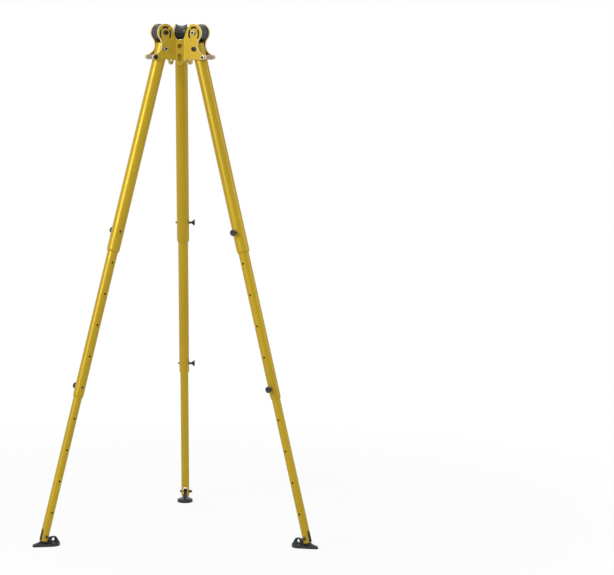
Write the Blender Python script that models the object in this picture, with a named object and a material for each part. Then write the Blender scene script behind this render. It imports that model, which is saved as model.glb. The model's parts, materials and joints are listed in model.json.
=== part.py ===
"""Aluminium lifting tripod, in metres with +Z up, standing on the floor plane z = 0.

Three bent head plates form the head. Between two neighbouring plates hang one telescopic leg and,
above it, one rope pulley. Each leg has three tubes, two pull-out lock pins and a tilting shoe. The
tripod is modelled spread and fully extended. Every leg is built in its own frame, whose X axis
points outwards from the head's axis, whose Y axis is tangential and whose Z axis points up.
"""

import math

import bmesh
import bpy
from mathutils import Matrix, Vector

# Layout: where the legs and plates stand round the head's vertical axis, in degrees
LEG_AZIMUTHS = {"rear": 90.0, "front_left": 210.0, "front_right": 330.0}
PLATE_AZIMUTHS = {"front": 270.0, "rear_right": 30.0, "rear_left": 150.0}
LEG_LEAN = math.radians(15.0)
PIVOT_RADIUS = 0.100

# Clearances
SEAT_GAP = 0.0003
RUNNING_GAP = 0.0005
CHEEK_GAP = 0.0008
TUBE_GAP = 0.0005
SLOT_GAP = 0.0020

# Telescopic tubes: the wall of each stage, the play round the next one, and the drawn-in mouths
LOWER_OD = 0.040
LOWER_WALL = 0.0035
LOWER_PLAY = 0.0015
MIDDLE_WALL = 0.0030
MIDDLE_PLAY = 0.0020
UPPER_WALL = 0.0035
MOUTH_LENGTH = 0.013
MOUTH_WALL = 0.0015
MOUTH_STEPS = 2
TUBE_SIDES = 16

# Stations along a leg, measured down its axis from the leg pivot
UPPER_TOP_ABOVE_PIVOT = 0.022
UPPER_PIN_STATION = 0.880
HOLE_SPACING = 0.150
STAGE_PITCHES = 5
TRAVEL_PITCHES = 4
UPPER_MOUTH_BELOW_PIN = 0.100
MIDDLE_MOUTH_BELOW_PIN = 0.050
STAGE_OVERLAP = 0.120
FOOT_BELOW_PIN = 0.715
LOWER_TAIL = 0.023

# Lock pins
LOCK_HOLE_SIDES = 8
LOCK_PIN_SIDES = 10
LOCK_HOLE_D = 0.0084
LOCK_SHANK_D = 0.0076
LOCK_NECK_D = 0.0106
LOCK_NECK_LENGTH = 0.016
KNOB_D = 0.025
KNOB_LENGTH = 0.012
KNOB_RIM = 0.003
KNOB_DISH = 0.0025

# Guides on the tops of the sliding tubes
GUIDE_HEAD = 0.012
GUIDE_SPIGOT = 0.020
GUIDE_WALL = 0.003
GUIDE_SIDES = 10

# Head plates
PLATE_THICKNESS = 0.010
CENTRE_FLAT = 0.036
BEND_RADIUS = 0.008
BEND_STEPS = 2
EAR_RADIUS = 0.041
LOBE_RADIUS = 0.012
NECK_RADIUS = 0.046
VALLEY_RADIUS = 0.025
VALLEY_BOTTOM = 0.042
VALLEY_SHARE = 0.95
TAB_RADIUS = 0.018
TAB_BOTTOM = -0.0755
TAB_FILLET = 0.016
ANCHOR_SLOT_WIDTH = 0.022
ANCHOR_SLOT_TOP = -0.0215
ANCHOR_SLOT_BOTTOM = -0.055
ROUND_HOLE_D = 0.022
ROUND_HOLE_HEIGHT = 0.0115
ARC_SLOT_RADIUS = 0.0248
ARC_SLOT_WIDTH = 0.0090
ARC_SLOT_SPANS = ((55.0, 125.0), (152.0, 243.0), (-63.0, 28.0))

# Pulleys
PULLEY_RISE = 0.0755
PULLEY_INSET = 0.002
PULLEY_RADIUS = 0.043
PULLEY_SIDE_ROOM = 0.0038
HUB_PLAY = 0.0006
GROOVE_DEPTH = 0.008
FLANGE_LAND = 0.003
HUB_RADIUS = 0.018
RIM_WALL = 0.008
WEB_RECESS = 0.004
BUSH_D = 0.022
PULLEY_SIDES = 18
GROOVE_STEPS = 3

# Bolts and nuts of the head
BOLT_D = 0.012
BOLT_HEAD_D = 0.022
BOLT_HEAD_HEIGHT = 0.008
SOCKET_AF = 0.010
SOCKET_DEPTH = 0.005
NUT_AF = 0.019
NUT_HEIGHT = 0.010
BOLT_TAIL = 0.003
BOLT_SIDES = 12
HOLE_SIDES = 10
SLEEVE_SIDES = 10

# Spread stop: a sleeve that the upper tube rests on
STOP_STATION = 0.0505
STOP_SPACER_D = 0.0215

# Shoes
FOOT_BOLT_HEIGHT = 0.047
HEEL_CENTRE = -0.030
HEEL_RADIUS = 0.039
TOE_CENTRE = 0.057
TOE_RADIUS = 0.013
SOLE_EDGE = 0.0075
SOLE_THICKNESS = 0.011
SOLE_SLOPE = 0.005
WEB_THICKNESS = 0.016
WEB_SETBACK = 0.002
WEB_FILLET = 0.006
EYE_RADIUS = 0.0125
EYE_ROUNDING = 0.98
RIDGE_TOE_RISE = 0.003
RIDGE_KNEE = 0.024
RIDGE_KNEE_RISE = 0.012
LOOP_CENTRE = -0.040
LOOP_TOP = 0.0005
LOOP_ARM_DIP = 0.0045
LOOP_SHOULDER = 0.011
LOOP_CROWN = 0.008
LOOP_RIM = 0.003
EYE_FLOOR = 0.0115
EYE_ROOF = 0.008
EYE_FRONT = 0.011
EYE_BACK = 0.0075
EYE_TOP_WIDTH = 0.008
EYE_CORNER = 0.0038
FOOT_BOLT_D = 0.010
FOOT_HEAD_D = 0.017
FOOT_HEAD_HEIGHT = 0.0065
FOOT_SOCKET_AF = 0.006
FOOT_SOCKET_DEPTH = 0.004
FOOT_NUT_AF = 0.017
FOOT_NUT_HEIGHT = 0.010
FOOT_BOLT_TAIL = 0.005
INNER_SLOT_ABOVE_BOLT = 0.021
OUTER_SLOT_ABOVE_BOLT = 0.035

# Sizes that follow from the ones above
MIDDLE_OD = LOWER_OD + 2 * (LOWER_PLAY + MIDDLE_WALL)
UPPER_OD = MIDDLE_OD + 2 * (MIDDLE_PLAY + UPPER_WALL)
LOWER_PIN_STATION = UPPER_PIN_STATION + STAGE_PITCHES * HOLE_SPACING
UPPER_END = UPPER_PIN_STATION + UPPER_MOUTH_BELOW_PIN
MIDDLE_TOP = UPPER_PIN_STATION - STAGE_OVERLAP
MIDDLE_END = LOWER_PIN_STATION + MIDDLE_MOUTH_BELOW_PIN
LOWER_TOP = LOWER_PIN_STATION - STAGE_OVERLAP
FOOT_STATION = LOWER_PIN_STATION + FOOT_BELOW_PIN
LOWER_END = FOOT_STATION + LOWER_TAIL
UPPER_BORE = UPPER_OD - 2 * UPPER_WALL
MIDDLE_BORE = MIDDLE_OD - 2 * MIDDLE_WALL
LOWER_BORE = LOWER_OD - 2 * LOWER_WALL
PIVOT_HEIGHT = FOOT_BOLT_HEIGHT + FOOT_STATION * math.cos(LEG_LEAN)
FOOT_CIRCLE = PIVOT_RADIUS + FOOT_STATION * math.sin(LEG_LEAN)
CHEEK_INNER = UPPER_OD / 2 + CHEEK_GAP
CHEEK_OUTER = CHEEK_INNER + PLATE_THICKNESS
PULLEY_HALF = CHEEK_INNER - PULLEY_SIDE_ROOM
PULLEY_CENTRE_RADIUS = PIVOT_RADIUS - PULLEY_INSET
STOP_OFFSET = UPPER_OD / 2 + SEAT_GAP + STOP_SPACER_D / 2
STOP_RADIUS = PIVOT_RADIUS + STOP_STATION * math.sin(LEG_LEAN) + STOP_OFFSET * math.cos(LEG_LEAN)
STOP_HEIGHT = -STOP_STATION * math.cos(LEG_LEAN) + STOP_OFFSET * math.sin(LEG_LEAN)
BOLT_HOLE_D = BOLT_D + 2 * SEAT_GAP
FOOT_HOLE_D = FOOT_BOLT_D + 2 * SEAT_GAP
SLOT_WIDTH = WEB_THICKNESS + 2 * SLOT_GAP

# A plate's wings fold until each lies along the radial plane of the leg beside it
WING_ANGLE = math.radians(30.0)
MID_BEND = BEND_RADIUS + PLATE_THICKNESS / 2
BEND_TANGENT = MID_BEND * math.tan(WING_ANGLE / 2)
BEND_ARC = MID_BEND * WING_ANGLE
CORNER_HALF = CENTRE_FLAT / 2 + BEND_TANGENT
CHEEK_MIDDLE = (CHEEK_INNER + CHEEK_OUTER) / 2
PLATE_MIDDLE = (CHEEK_MIDDLE + CORNER_HALF * math.sin(WING_ANGLE)) / math.cos(WING_ANGLE)
CORNER_RADIUS = PLATE_MIDDLE * math.sin(WING_ANGLE) + CORNER_HALF * math.cos(WING_ANGLE)


def clear_scene():
    """Remove every object of the scene."""
    for item in list(bpy.data.objects):
        bpy.data.objects.remove(item, do_unlink=True)


def material(name, colour, metallic, roughness):
    """A Principled material of one colour."""
    made = bpy.data.materials.new(name)
    made.use_nodes = True
    shader = made.node_tree.nodes["Principled BSDF"]
    shader.inputs["Base Color"].default_value = (*colour, 1.0)
    shader.inputs["Metallic"].default_value = metallic
    shader.inputs["Roughness"].default_value = roughness
    made.diffuse_color = (*colour, 1.0)
    return made


def finish_mesh(bm, name):
    """Turn a bmesh into a mesh with outward faces and smooth round sides."""
    bmesh.ops.recalc_face_normals(bm, faces=bm.faces[:])
    if bm.calc_volume(signed=True) < 0.0:
        bmesh.ops.reverse_faces(bm, faces=bm.faces[:])
    mesh = bpy.data.meshes.new(name)
    bm.to_mesh(mesh)
    bm.free()
    mesh.shade_smooth()
    mesh.set_sharp_from_angle(angle=math.radians(32))
    return mesh


def place(name, mesh, surface, parent, location=(0.0, 0.0, 0.0), rotation=(0.0, 0.0, 0.0)):
    """Add one sub-part, with its own copy of the material, under a parent empty."""
    item = bpy.data.objects.new(name, mesh.copy())
    own_surface = surface.copy()
    own_surface.name = name + "_surface"
    item.data.materials.clear()
    item.data.materials.append(own_surface)
    item.parent = parent
    item.location = location
    item.rotation_euler = rotation
    bpy.context.scene.collection.objects.link(item)
    return item


def empty(name, parent, location=(0.0, 0.0, 0.0), rotation=(0.0, 0.0, 0.0)):
    """Add an empty, which carries pieces or marks a joint's axis."""
    item = bpy.data.objects.new(name, None)
    item.parent = parent
    item.location = location
    item.rotation_euler = rotation
    bpy.context.scene.collection.objects.link(item)
    return item


def turned(name, profile, sides, hexagonal=()):
    """Turn a profile of (radius, height) points round Z.

    A profile that starts and ends on the axis closes there; any other is a closed ring. Rings whose
    index is in hexagonal become hexagons, and radius is then half the width across their corners.
    """
    bm = bmesh.new()
    rings = []
    for index, (radius, height) in enumerate(profile):
        if radius == 0.0:
            rings.append([bm.verts.new((0.0, 0.0, height))])
            continue
        ring = []
        for step in range(sides):
            reach = radius
            if index in hexagonal and step % 2:
                reach = radius * math.cos(math.pi / 6)
            angle = 2 * math.pi * step / sides
            ring.append(bm.verts.new((reach * math.cos(angle), reach * math.sin(angle), height)))
        rings.append(ring)
    pairs = list(zip(rings, rings[1:]))
    if profile[0][0] > 0.0:
        pairs.append((rings[-1], rings[0]))
    for first, second in pairs:
        for step in range(sides):
            after = (step + 1) % sides
            corners = []
            corners.append(first[step % len(first)])
            if len(first) > 1:
                corners.append(first[after])
            if len(second) > 1:
                corners.append(second[after])
            corners.append(second[step % len(second)])
            bm.faces.new(corners)
    return finish_mesh(bm, name)


def along_y(mesh):
    """Lay a turned mesh so that its Z axis points along +Y."""
    mesh.transform(Matrix.Rotation(-math.pi / 2, 4, "X"))
    return mesh


def arc(centre, radius, start, end, steps):
    """Points on an arc from start to end, in radians, both ends included."""
    points = []
    for step in range(steps + 1):
        angle = start + (end - start) * step / steps
        points.append((centre[0] + radius * math.cos(angle), centre[1] + radius * math.sin(angle)))
    return points


def circle(centre, diameter, steps):
    """A closed circle's points."""
    return arc(centre, diameter / 2, 0.0, 2 * math.pi * (steps - 1) / steps, steps - 1)


def angle_to(start, end):
    """Direction from one point to another, in radians."""
    return math.atan2(end[1] - start[1], end[0] - start[0])


def rounded(corners, steps=2):
    """An outline from (x, z, radius) corners, each replaced by a fillet of its radius."""
    outline = []
    for index, (x, z, radius) in enumerate(corners):
        here = Vector((x, z))
        before = (Vector(corners[index - 1][:2]) - here).normalized()
        after = (Vector(corners[(index + 1) % len(corners)][:2]) - here).normalized()
        if radius == 0.0:
            outline.append((x, z))
            continue
        half = before.angle(after) / 2
        centre = here + (before + after).normalized() * radius / math.sin(half)
        first = here + before * radius / math.tan(half)
        last = here + after * radius / math.tan(half)
        start = angle_to(centre, first)
        sweep = (angle_to(centre, last) - start + math.pi) % (2 * math.pi) - math.pi
        outline.extend(arc(centre, radius, start, start + sweep, steps))
    return outline


def fill_flat(bm, loops):
    """Fill an outline and its holes, given as (x, z) loops, in the plane y = 0."""
    edges = []
    for loop in loops:
        points = [point for index, point in enumerate(loop) if math.dist(point, loop[index - 1]) > 1e-6]
        verts = [bm.verts.new((x, 0.0, z)) for x, z in points]
        for index, vert in enumerate(verts):
            edges.append(bm.edges.new((verts[index - 1], vert)))
    bmesh.ops.triangle_fill(bm, use_beauty=True, use_dissolve=False, edges=edges)


def thicken(bm, thickness):
    """Extrude a flat filling to both sides of y = 0."""
    bmesh.ops.translate(bm, verts=bm.verts[:], vec=(0.0, -thickness / 2, 0.0))
    grown = bmesh.ops.extrude_face_region(bm, geom=bm.faces[:])
    moved = [item for item in grown["geom"] if isinstance(item, bmesh.types.BMVert)]
    bmesh.ops.translate(bm, verts=moved, vec=(0.0, thickness, 0.0))


def flat_piece(name, loops, thickness):
    """A flat piece with holes, centred on the plane y = 0."""
    bm = bmesh.new()
    fill_flat(bm, loops)
    thicken(bm, thickness)
    return finish_mesh(bm, name)


def joined(name, meshes):
    """Several separate solids in one mesh, for use as a cutter."""
    bm = bmesh.new()
    for mesh in meshes:
        bm.from_mesh(mesh)
    return finish_mesh(bm, name)


def combine(body, tool, operation):
    """The Boolean of two meshes, as a new mesh."""
    objects = [bpy.data.objects.new("boolean_piece", mesh) for mesh in (body, tool)]
    for item in objects:
        bpy.context.scene.collection.objects.link(item)
    modifier = objects[0].modifiers.new("combine", "BOOLEAN")
    modifier.operation = operation
    modifier.solver = "EXACT"
    modifier.object = objects[1]
    graph = bpy.context.evaluated_depsgraph_get()
    result = bpy.data.meshes.new_from_object(objects[0].evaluated_get(graph))
    for item in objects:
        bpy.data.objects.remove(item, do_unlink=True)
    result.shade_smooth()
    result.set_sharp_from_angle(angle=math.radians(32))
    return result


def cross_drill(diameter, station, reach, sides=LOCK_HOLE_SIDES):
    """A cutter along Y at a station below the leg pivot, reaching both ways."""
    radius = diameter / 2 / math.cos(math.pi / sides)
    profile = [(0.0, -reach), (radius, -reach), (radius, reach), (0.0, reach)]
    drill = along_y(turned("drill", profile, sides))
    drill.transform(Matrix.Translation((0.0, 0.0, -station)))
    return drill


def mouth_profile(radius, bore_radius, mouth_radius, end):
    """The drawn-in end of a tube: its outer side down to the lip, then its bore back up."""
    start = -(end - MOUTH_LENGTH)
    outer = []
    for step in range(MOUTH_STEPS + 1):
        share = step / MOUTH_STEPS
        draw = 1 - math.cos(share * math.pi / 2)
        outer.append((radius - (radius - mouth_radius - MOUTH_WALL) * draw, start - MOUTH_LENGTH * share))
    return outer + [(mouth_radius, -end), (bore_radius, start)]


def upper_tube_mesh():
    """Outer leg tube: pivot hole at its top, lock-pin hole and drawn-in mouth at its foot."""
    radius = UPPER_OD / 2
    bore = UPPER_BORE / 2
    mouth = MIDDLE_OD / 2 + TUBE_GAP
    top = [(bore, UPPER_TOP_ABOVE_PIVOT), (radius, UPPER_TOP_ABOVE_PIVOT)]
    tube = turned("upper_tube", top + mouth_profile(radius, bore, mouth, UPPER_END), TUBE_SIDES)
    drills = [
        cross_drill(BOLT_HOLE_D, 0.0, UPPER_OD, HOLE_SIDES),
        cross_drill(LOCK_HOLE_D, UPPER_PIN_STATION, UPPER_OD),
    ]
    return combine(tube, joined("drills", drills), "DIFFERENCE")


def middle_tube_mesh():
    """Middle leg tube: a row of cross holes, of which the last carries the lower lock pin."""
    radius = MIDDLE_OD / 2
    bore = MIDDLE_BORE / 2
    mouth = LOWER_OD / 2 + TUBE_GAP
    top = [(bore, -MIDDLE_TOP), (radius, -MIDDLE_TOP)]
    tube = turned("middle_tube", top + mouth_profile(radius, bore, mouth, MIDDLE_END), TUBE_SIDES)
    drills = []
    for pitch in range(STAGE_PITCHES + 1):
        drills.append(cross_drill(LOCK_HOLE_D, UPPER_PIN_STATION + pitch * HOLE_SPACING, MIDDLE_OD))
    return combine(tube, joined("drills", drills), "DIFFERENCE")


def end_slot(side, above_bolt):
    """Cutter for one open slot in the foot end of the lower tube, on its inner or outer side."""
    low = LOWER_END + LOWER_OD
    half = SLOT_WIDTH / 2
    crown = FOOT_STATION - above_bolt + half
    loop = arc((0.0, -crown), half, 0.0, math.pi, 4) + [(-half, -low), (half, -low)]
    slot = flat_piece("slot", [loop], LOWER_OD / 2)
    slot.transform(Matrix.Rotation(math.pi / 2, 4, "Z"))
    slot.transform(Matrix.Translation((side * (LOWER_OD + LOWER_BORE) / 4, 0.0, 0.0)))
    return slot


def lower_tube_mesh():
    """Inner leg tube: a row of cross holes, the foot bolt's hole and two open end slots."""
    radius = LOWER_OD / 2
    bore = LOWER_BORE / 2
    profile = [(bore, -LOWER_TOP), (radius, -LOWER_TOP), (radius, -LOWER_END), (bore, -LOWER_END)]
    tube = turned("lower_tube", profile, TUBE_SIDES)
    cutters = [cross_drill(FOOT_HOLE_D, FOOT_STATION, LOWER_OD)]
    for pitch in range(TRAVEL_PITCHES + 1):
        cutters.append(cross_drill(LOCK_HOLE_D, LOWER_PIN_STATION + pitch * HOLE_SPACING, LOWER_OD))
    cutters.append(end_slot(-1, INNER_SLOT_ABOVE_BOLT))
    cutters.append(end_slot(1, OUTER_SLOT_ABOVE_BOLT))
    return combine(tube, joined("cutters", cutters), "DIFFERENCE")


def guide_mesh(tube_bore, outer_bore, top):
    """A guide plugged into a sliding tube's top, whose head runs in the bore of the next tube."""
    flat_share = math.cos(math.pi / TUBE_SIDES)
    head = outer_bore / 2 * flat_share - RUNNING_GAP
    spigot = tube_bore / 2 * flat_share - SEAT_GAP
    hole = spigot - GUIDE_WALL
    seat = -top + SEAT_GAP
    bottom = -top - GUIDE_SPIGOT
    ceiling = seat + GUIDE_HEAD
    profile = [
        (hole, ceiling), (head, ceiling), (head, seat), (spigot, seat), (spigot, bottom), (hole, bottom),
    ]
    return turned("guide", profile, GUIDE_SIDES)


def lock_pin_mesh(tube_od, tube_wall):
    """Lock pin on +Y of its tube's hole: a nose in the wall, a neck outside it, a flared knob."""
    nose = tube_od / 2 - tube_wall
    seat = tube_od / 2 + SEAT_GAP
    flare = seat + LOCK_NECK_LENGTH
    face = flare + KNOB_LENGTH
    profile = [
        (0.0, nose), (LOCK_SHANK_D / 2, nose), (LOCK_SHANK_D / 2, seat), (LOCK_NECK_D / 2, seat),
        (LOCK_NECK_D / 2, flare), (KNOB_D / 2, face - KNOB_RIM), (KNOB_D / 2 - KNOB_RIM, face),
        (0.0, face - KNOB_DISH),
    ]
    return along_y(turned("lock_pin", profile, LOCK_PIN_SIDES))


def bolt_mesh(diameter, head_d, head_height, socket_af, socket_depth, grip, tail):
    """Socket-headed bolt along Y: its head beyond y = grip / 2, its tail beyond y = -grip / 2."""
    seat = grip / 2 + SEAT_GAP
    crown = seat + head_height
    corner = socket_af / 2 / math.cos(math.pi / 6)
    chamfer = head_height / 6
    end = -grip / 2 - tail
    profile = [
        (0.0, crown - socket_depth), (corner, crown - socket_depth), (corner, crown),
        (head_d / 2 - chamfer, crown), (head_d / 2, crown - chamfer), (head_d / 2, seat),
        (diameter / 2, seat), (diameter / 2, end), (0.0, end),
    ]
    return along_y(turned("bolt", profile, BOLT_SIDES, hexagonal=(1, 2)))


def nut_mesh(width, height, hole_d, seat):
    """Hexagon nut round the Y axis, its face seated against y = -seat."""
    corners = circle((0.0, 0.0), width / math.cos(math.pi / 6), 6)
    bore = circle((0.0, 0.0), hole_d / math.cos(math.pi / HOLE_SIDES), HOLE_SIDES)
    nut = flat_piece("nut", [corners, bore], height)
    nut.transform(Matrix.Translation((0.0, -seat - SEAT_GAP - height / 2, 0.0)))
    return nut


def sleeve_mesh(outer_d, bore_d, length):
    """A plain sleeve round the Y axis."""
    outer = outer_d / 2
    bore = bore_d / 2 / math.cos(math.pi / SLEEVE_SIDES)
    half = length / 2
    profile = [(bore, -half), (bore, half), (outer, half), (outer, -half)]
    return along_y(turned("sleeve", profile, SLEEVE_SIDES))


def pulley_mesh():
    """Rope pulley round the Y axis: hub, recessed webs, rim and a round-bottomed rope groove."""
    half = PULLEY_HALF
    hub_face = CHEEK_INNER - HUB_PLAY
    bore = (BUSH_D / 2 + RUNNING_GAP) / math.cos(math.pi / PULLEY_SIDES)
    rim = PULLEY_RADIUS - RIM_WALL
    reach = half - FLANGE_LAND
    groove_radius = (reach**2 + GROOVE_DEPTH**2) / (2 * GROOVE_DEPTH)
    groove_centre = (PULLEY_RADIUS - GROOVE_DEPTH + groove_radius, 0.0)
    opening = math.asin(reach / groove_radius)
    right = [
        (bore, hub_face), (HUB_RADIUS, hub_face), (HUB_RADIUS, half - WEB_RECESS),
        (rim - WEB_RECESS, half - WEB_RECESS), (rim, half), (PULLEY_RADIUS, half),
    ]
    groove = arc(groove_centre, groove_radius, math.pi - opening, math.pi + opening, GROOVE_STEPS)
    left = [(radius, -height) for radius, height in right[::-1]]
    return along_y(turned("pulley", right + groove + left, PULLEY_SIDES))


def wing_place(radius):
    """Distance from a plate's centre line, along its flat blank, of a point at a leg radius."""
    return radius - CORNER_RADIUS + CENTRE_FLAT / 2 + BEND_ARC - BEND_TANGENT


def circle_meeting(first, first_reach, second, second_reach):
    """The point at two given distances from two centres, on the left of the way between them."""
    span = math.dist(first, second)
    along = (first_reach**2 - second_reach**2 + span**2) / (2 * span)
    across = math.sqrt(first_reach**2 - along**2)
    ux = (second[0] - first[0]) / span
    uz = (second[1] - first[1]) / span
    return (first[0] + along * ux - across * uz, first[1] + along * uz + across * ux)


def plate_half_outline():
    """Right half of a head plate's flat blank, from the tab's lowest point up to the valley."""
    tab = (0.0, TAB_BOTTOM + TAB_RADIUS)
    ear = (wing_place(PULLEY_CENTRE_RADIUS), PULLEY_RISE)
    lobe = (wing_place(STOP_RADIUS), STOP_HEIGHT)
    rise = ear[1] - VALLEY_BOTTOM
    roomy = (ear[0] ** 2 + rise**2 - EAR_RADIUS**2) / (2 * (EAR_RADIUS + rise))
    valley_radius = min(VALLEY_RADIUS, roomy * VALLEY_SHARE)
    valley = (0.0, VALLEY_BOTTOM + valley_radius)
    bottom_edge = lobe[1] - LOBE_RADIUS
    fillet_height = bottom_edge - TAB_FILLET
    fillet_reach = math.sqrt((TAB_RADIUS + TAB_FILLET) ** 2 - (fillet_height - tab[1]) ** 2)
    fillet = (fillet_reach, fillet_height)
    neck = circle_meeting(ear, EAR_RADIUS + NECK_RADIUS, lobe, LOBE_RADIUS + NECK_RADIUS)
    turn = math.acos((EAR_RADIUS + valley_radius) / math.dist(valley, ear))
    valley_end = angle_to(valley, ear) - turn

    outline = arc(tab, TAB_RADIUS, -math.pi / 2, angle_to(tab, fillet), 4)
    outline += arc(fillet, TAB_FILLET, angle_to(fillet, tab), math.pi / 2, 3)
    outline += arc(lobe, LOBE_RADIUS, -math.pi / 2, angle_to(lobe, neck), 4)
    outline += arc(neck, NECK_RADIUS, angle_to(neck, lobe) + 2 * math.pi, angle_to(neck, ear), 5)
    outline += arc(ear, EAR_RADIUS, angle_to(ear, neck), valley_end + math.pi, 12)
    outline += arc(valley, valley_radius, valley_end, -math.pi / 2, 4)
    return outline


def arc_slot(centre, start, end):
    """A curved slot with round ends on the slot radius round an axle hole."""
    start = math.radians(start)
    end = math.radians(end)
    half = ARC_SLOT_WIDTH / 2
    outer = arc(centre, ARC_SLOT_RADIUS + half, start, end, 3)
    inner = arc(centre, ARC_SLOT_RADIUS - half, end, start, 3)
    ends = []
    for angle, way in ((end, 1), (start, -1)):
        middle = (
            centre[0] + ARC_SLOT_RADIUS * math.cos(angle),
            centre[1] + ARC_SLOT_RADIUS * math.sin(angle),
        )
        tip = angle + way * math.pi / 2
        ends.append([(middle[0] + half * math.cos(tip), middle[1] + half * math.sin(tip))])
    return outer + ends[0] + inner + ends[1]


def mirrored(loop):
    """A loop mirrored from the right wing to the left one."""
    return [(-x, z) for x, z in loop]


def plate_loops():
    """Outline and holes of a head plate's flat blank."""
    half = plate_half_outline()
    left = mirrored(half)[::-1]
    outline = half[:-1] + left[:-1]
    ear = (wing_place(PULLEY_CENTRE_RADIUS), PULLEY_RISE)
    hole = BOLT_HOLE_D / math.cos(math.pi / HOLE_SIDES)
    wing_holes = [
        circle(ear, hole, HOLE_SIDES),
        circle((wing_place(PIVOT_RADIUS), 0.0), hole, HOLE_SIDES),
        circle((wing_place(STOP_RADIUS), STOP_HEIGHT), hole, HOLE_SIDES),
    ]
    wing_holes += [arc_slot(ear, start, end) for start, end in ARC_SLOT_SPANS]
    slot_half = ANCHOR_SLOT_WIDTH / 2
    anchor = arc((0.0, ANCHOR_SLOT_TOP - slot_half), slot_half, 0.0, math.pi, 5)
    anchor += arc((0.0, ANCHOR_SLOT_BOTTOM + slot_half), slot_half, math.pi, 2 * math.pi, 5)
    loops = [outline, anchor, circle((0.0, ROUND_HOLE_HEIGHT), ROUND_HOLE_D, 12)]
    for loop in wing_holes:
        loops.append(loop)
        loops.append(mirrored(loop))
    return loops


def fold_point(across, depth):
    """Carry a point of the flat blank to the bent plate: X outwards from the head's axis."""
    side = math.copysign(1.0, across)
    past = abs(across) - CENTRE_FLAT / 2
    if past <= 0.0:
        return PLATE_MIDDLE + depth, across
    angle = min(past / MID_BEND, WING_ANGLE)
    straight = max(past - BEND_ARC, 0.0)
    out = PLATE_MIDDLE + MID_BEND * (1 - math.cos(angle)) + straight * math.sin(angle)
    aside = CENTRE_FLAT / 2 + MID_BEND * math.sin(angle) + straight * math.cos(angle)
    return out + depth * math.cos(angle), side * (aside - depth * math.sin(angle))


def strip_between(loop, low, high):
    """The part of an outline that lies between two lines across the blank."""
    strip = []
    for index, end in enumerate(loop):
        start = loop[index - 1]
        crossed = [line for line in (low, high) if (start[0] - line) * (end[0] - line) < 0]
        for line in sorted(crossed, key=lambda value: abs(value - start[0])):
            share = (line - start[0]) / (end[0] - start[0])
            strip.append((line, start[1] + share * (end[1] - start[1])))
        if low <= end[0] <= high:
            strip.append(end)
    return strip


def head_plate_mesh():
    """Head plate: a flat blank, filled strip by strip between its bend lines and then folded."""
    outline, *holes = plate_loops()
    bends = [CENTRE_FLAT / 2 + BEND_ARC * step / BEND_STEPS for step in range(BEND_STEPS + 1)]
    lines = [-math.inf] + [-line for line in bends[::-1]] + bends + [math.inf]
    bm = bmesh.new()
    for low, high in zip(lines, lines[1:]):
        inside = [hole for hole in holes if low < hole[0][0] < high]
        fill_flat(bm, [strip_between(outline, low, high)] + inside)
    bmesh.ops.remove_doubles(bm, verts=bm.verts[:], dist=1e-6)
    thicken(bm, PLATE_THICKNESS)
    for vert in bm.verts:
        out, aside = fold_point(vert.co.x, -vert.co.y)
        vert.co.x = out
        vert.co.y = aside
    return finish_mesh(bm, "head_plate")


def sole_outline(shrink):
    """Outline of the shoe's sole: a broad heel and a narrow toe joined by tangents."""
    heel = HEEL_RADIUS - shrink
    toe = TOE_RADIUS - shrink
    tangent = math.acos((heel - toe) / (TOE_CENTRE - HEEL_CENTRE))
    outline = arc((TOE_CENTRE, 0.0), toe, -tangent, tangent, 4)
    outline += arc((HEEL_CENTRE, 0.0), heel, tangent, 2 * math.pi - tangent, 11)
    return outline


def sole_mesh():
    """Sole of the shoe, flat below, with a sloping upper edge."""
    bm = bmesh.new()
    rings = []
    for shrink, height in ((0.0, 0.0), (0.0, SOLE_EDGE), (SOLE_SLOPE, SOLE_THICKNESS)):
        level = height - FOOT_BOLT_HEIGHT
        rings.append([bm.verts.new((x, y, level)) for x, y in sole_outline(shrink)])
    for low, high in zip(rings, rings[1:]):
        for index in range(len(low)):
            bm.faces.new((low[index - 1], low[index], high[index], high[index - 1]))
    bm.faces.new(rings[0][::-1])
    bm.faces.new(rings[-1])
    return finish_mesh(bm, "sole")


def web_mesh():
    """Upright web of the shoe: bolt eye, arm of the lashing loop over the heel, ridge to the toe."""
    base = SOLE_THICKNESS / 2 - FOOT_BOLT_HEIGHT
    deck = SOLE_THICKNESS - FOOT_BOLT_HEIGHT
    heel_end = HEEL_CENTRE - HEEL_RADIUS + SOLE_SLOPE + WEB_SETBACK
    toe_end = TOE_CENTRE + TOE_RADIUS / 2
    eye = EYE_RADIUS
    outline = rounded([
        (heel_end, base, 0.0),
        (toe_end, base, 0.0),
        (toe_end, deck + RIDGE_TOE_RISE, RIDGE_TOE_RISE / 2),
        (RIDGE_KNEE, deck + RIDGE_KNEE_RISE, WEB_FILLET),
        (eye, -eye, WEB_FILLET),
        (eye, eye, eye * EYE_ROUNDING),
        (-eye, eye, eye * EYE_ROUNDING),
        (-eye, LOOP_TOP - LOOP_ARM_DIP, WEB_FILLET),
        (LOOP_CENTRE, LOOP_TOP, WEB_FILLET),
        (LOOP_CENTRE - LOOP_SHOULDER, LOOP_TOP - LOOP_ARM_DIP / 4, LOOP_CROWN),
        (heel_end, deck + RIDGE_TOE_RISE, RIDGE_TOE_RISE / 2),
    ], 1)
    bolt_hole = circle((0.0, 0.0), FOOT_BOLT_D + 2 * RUNNING_GAP, BOLT_SIDES)
    return flat_piece("web", [outline, bolt_hole], WEB_THICKNESS)


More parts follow.
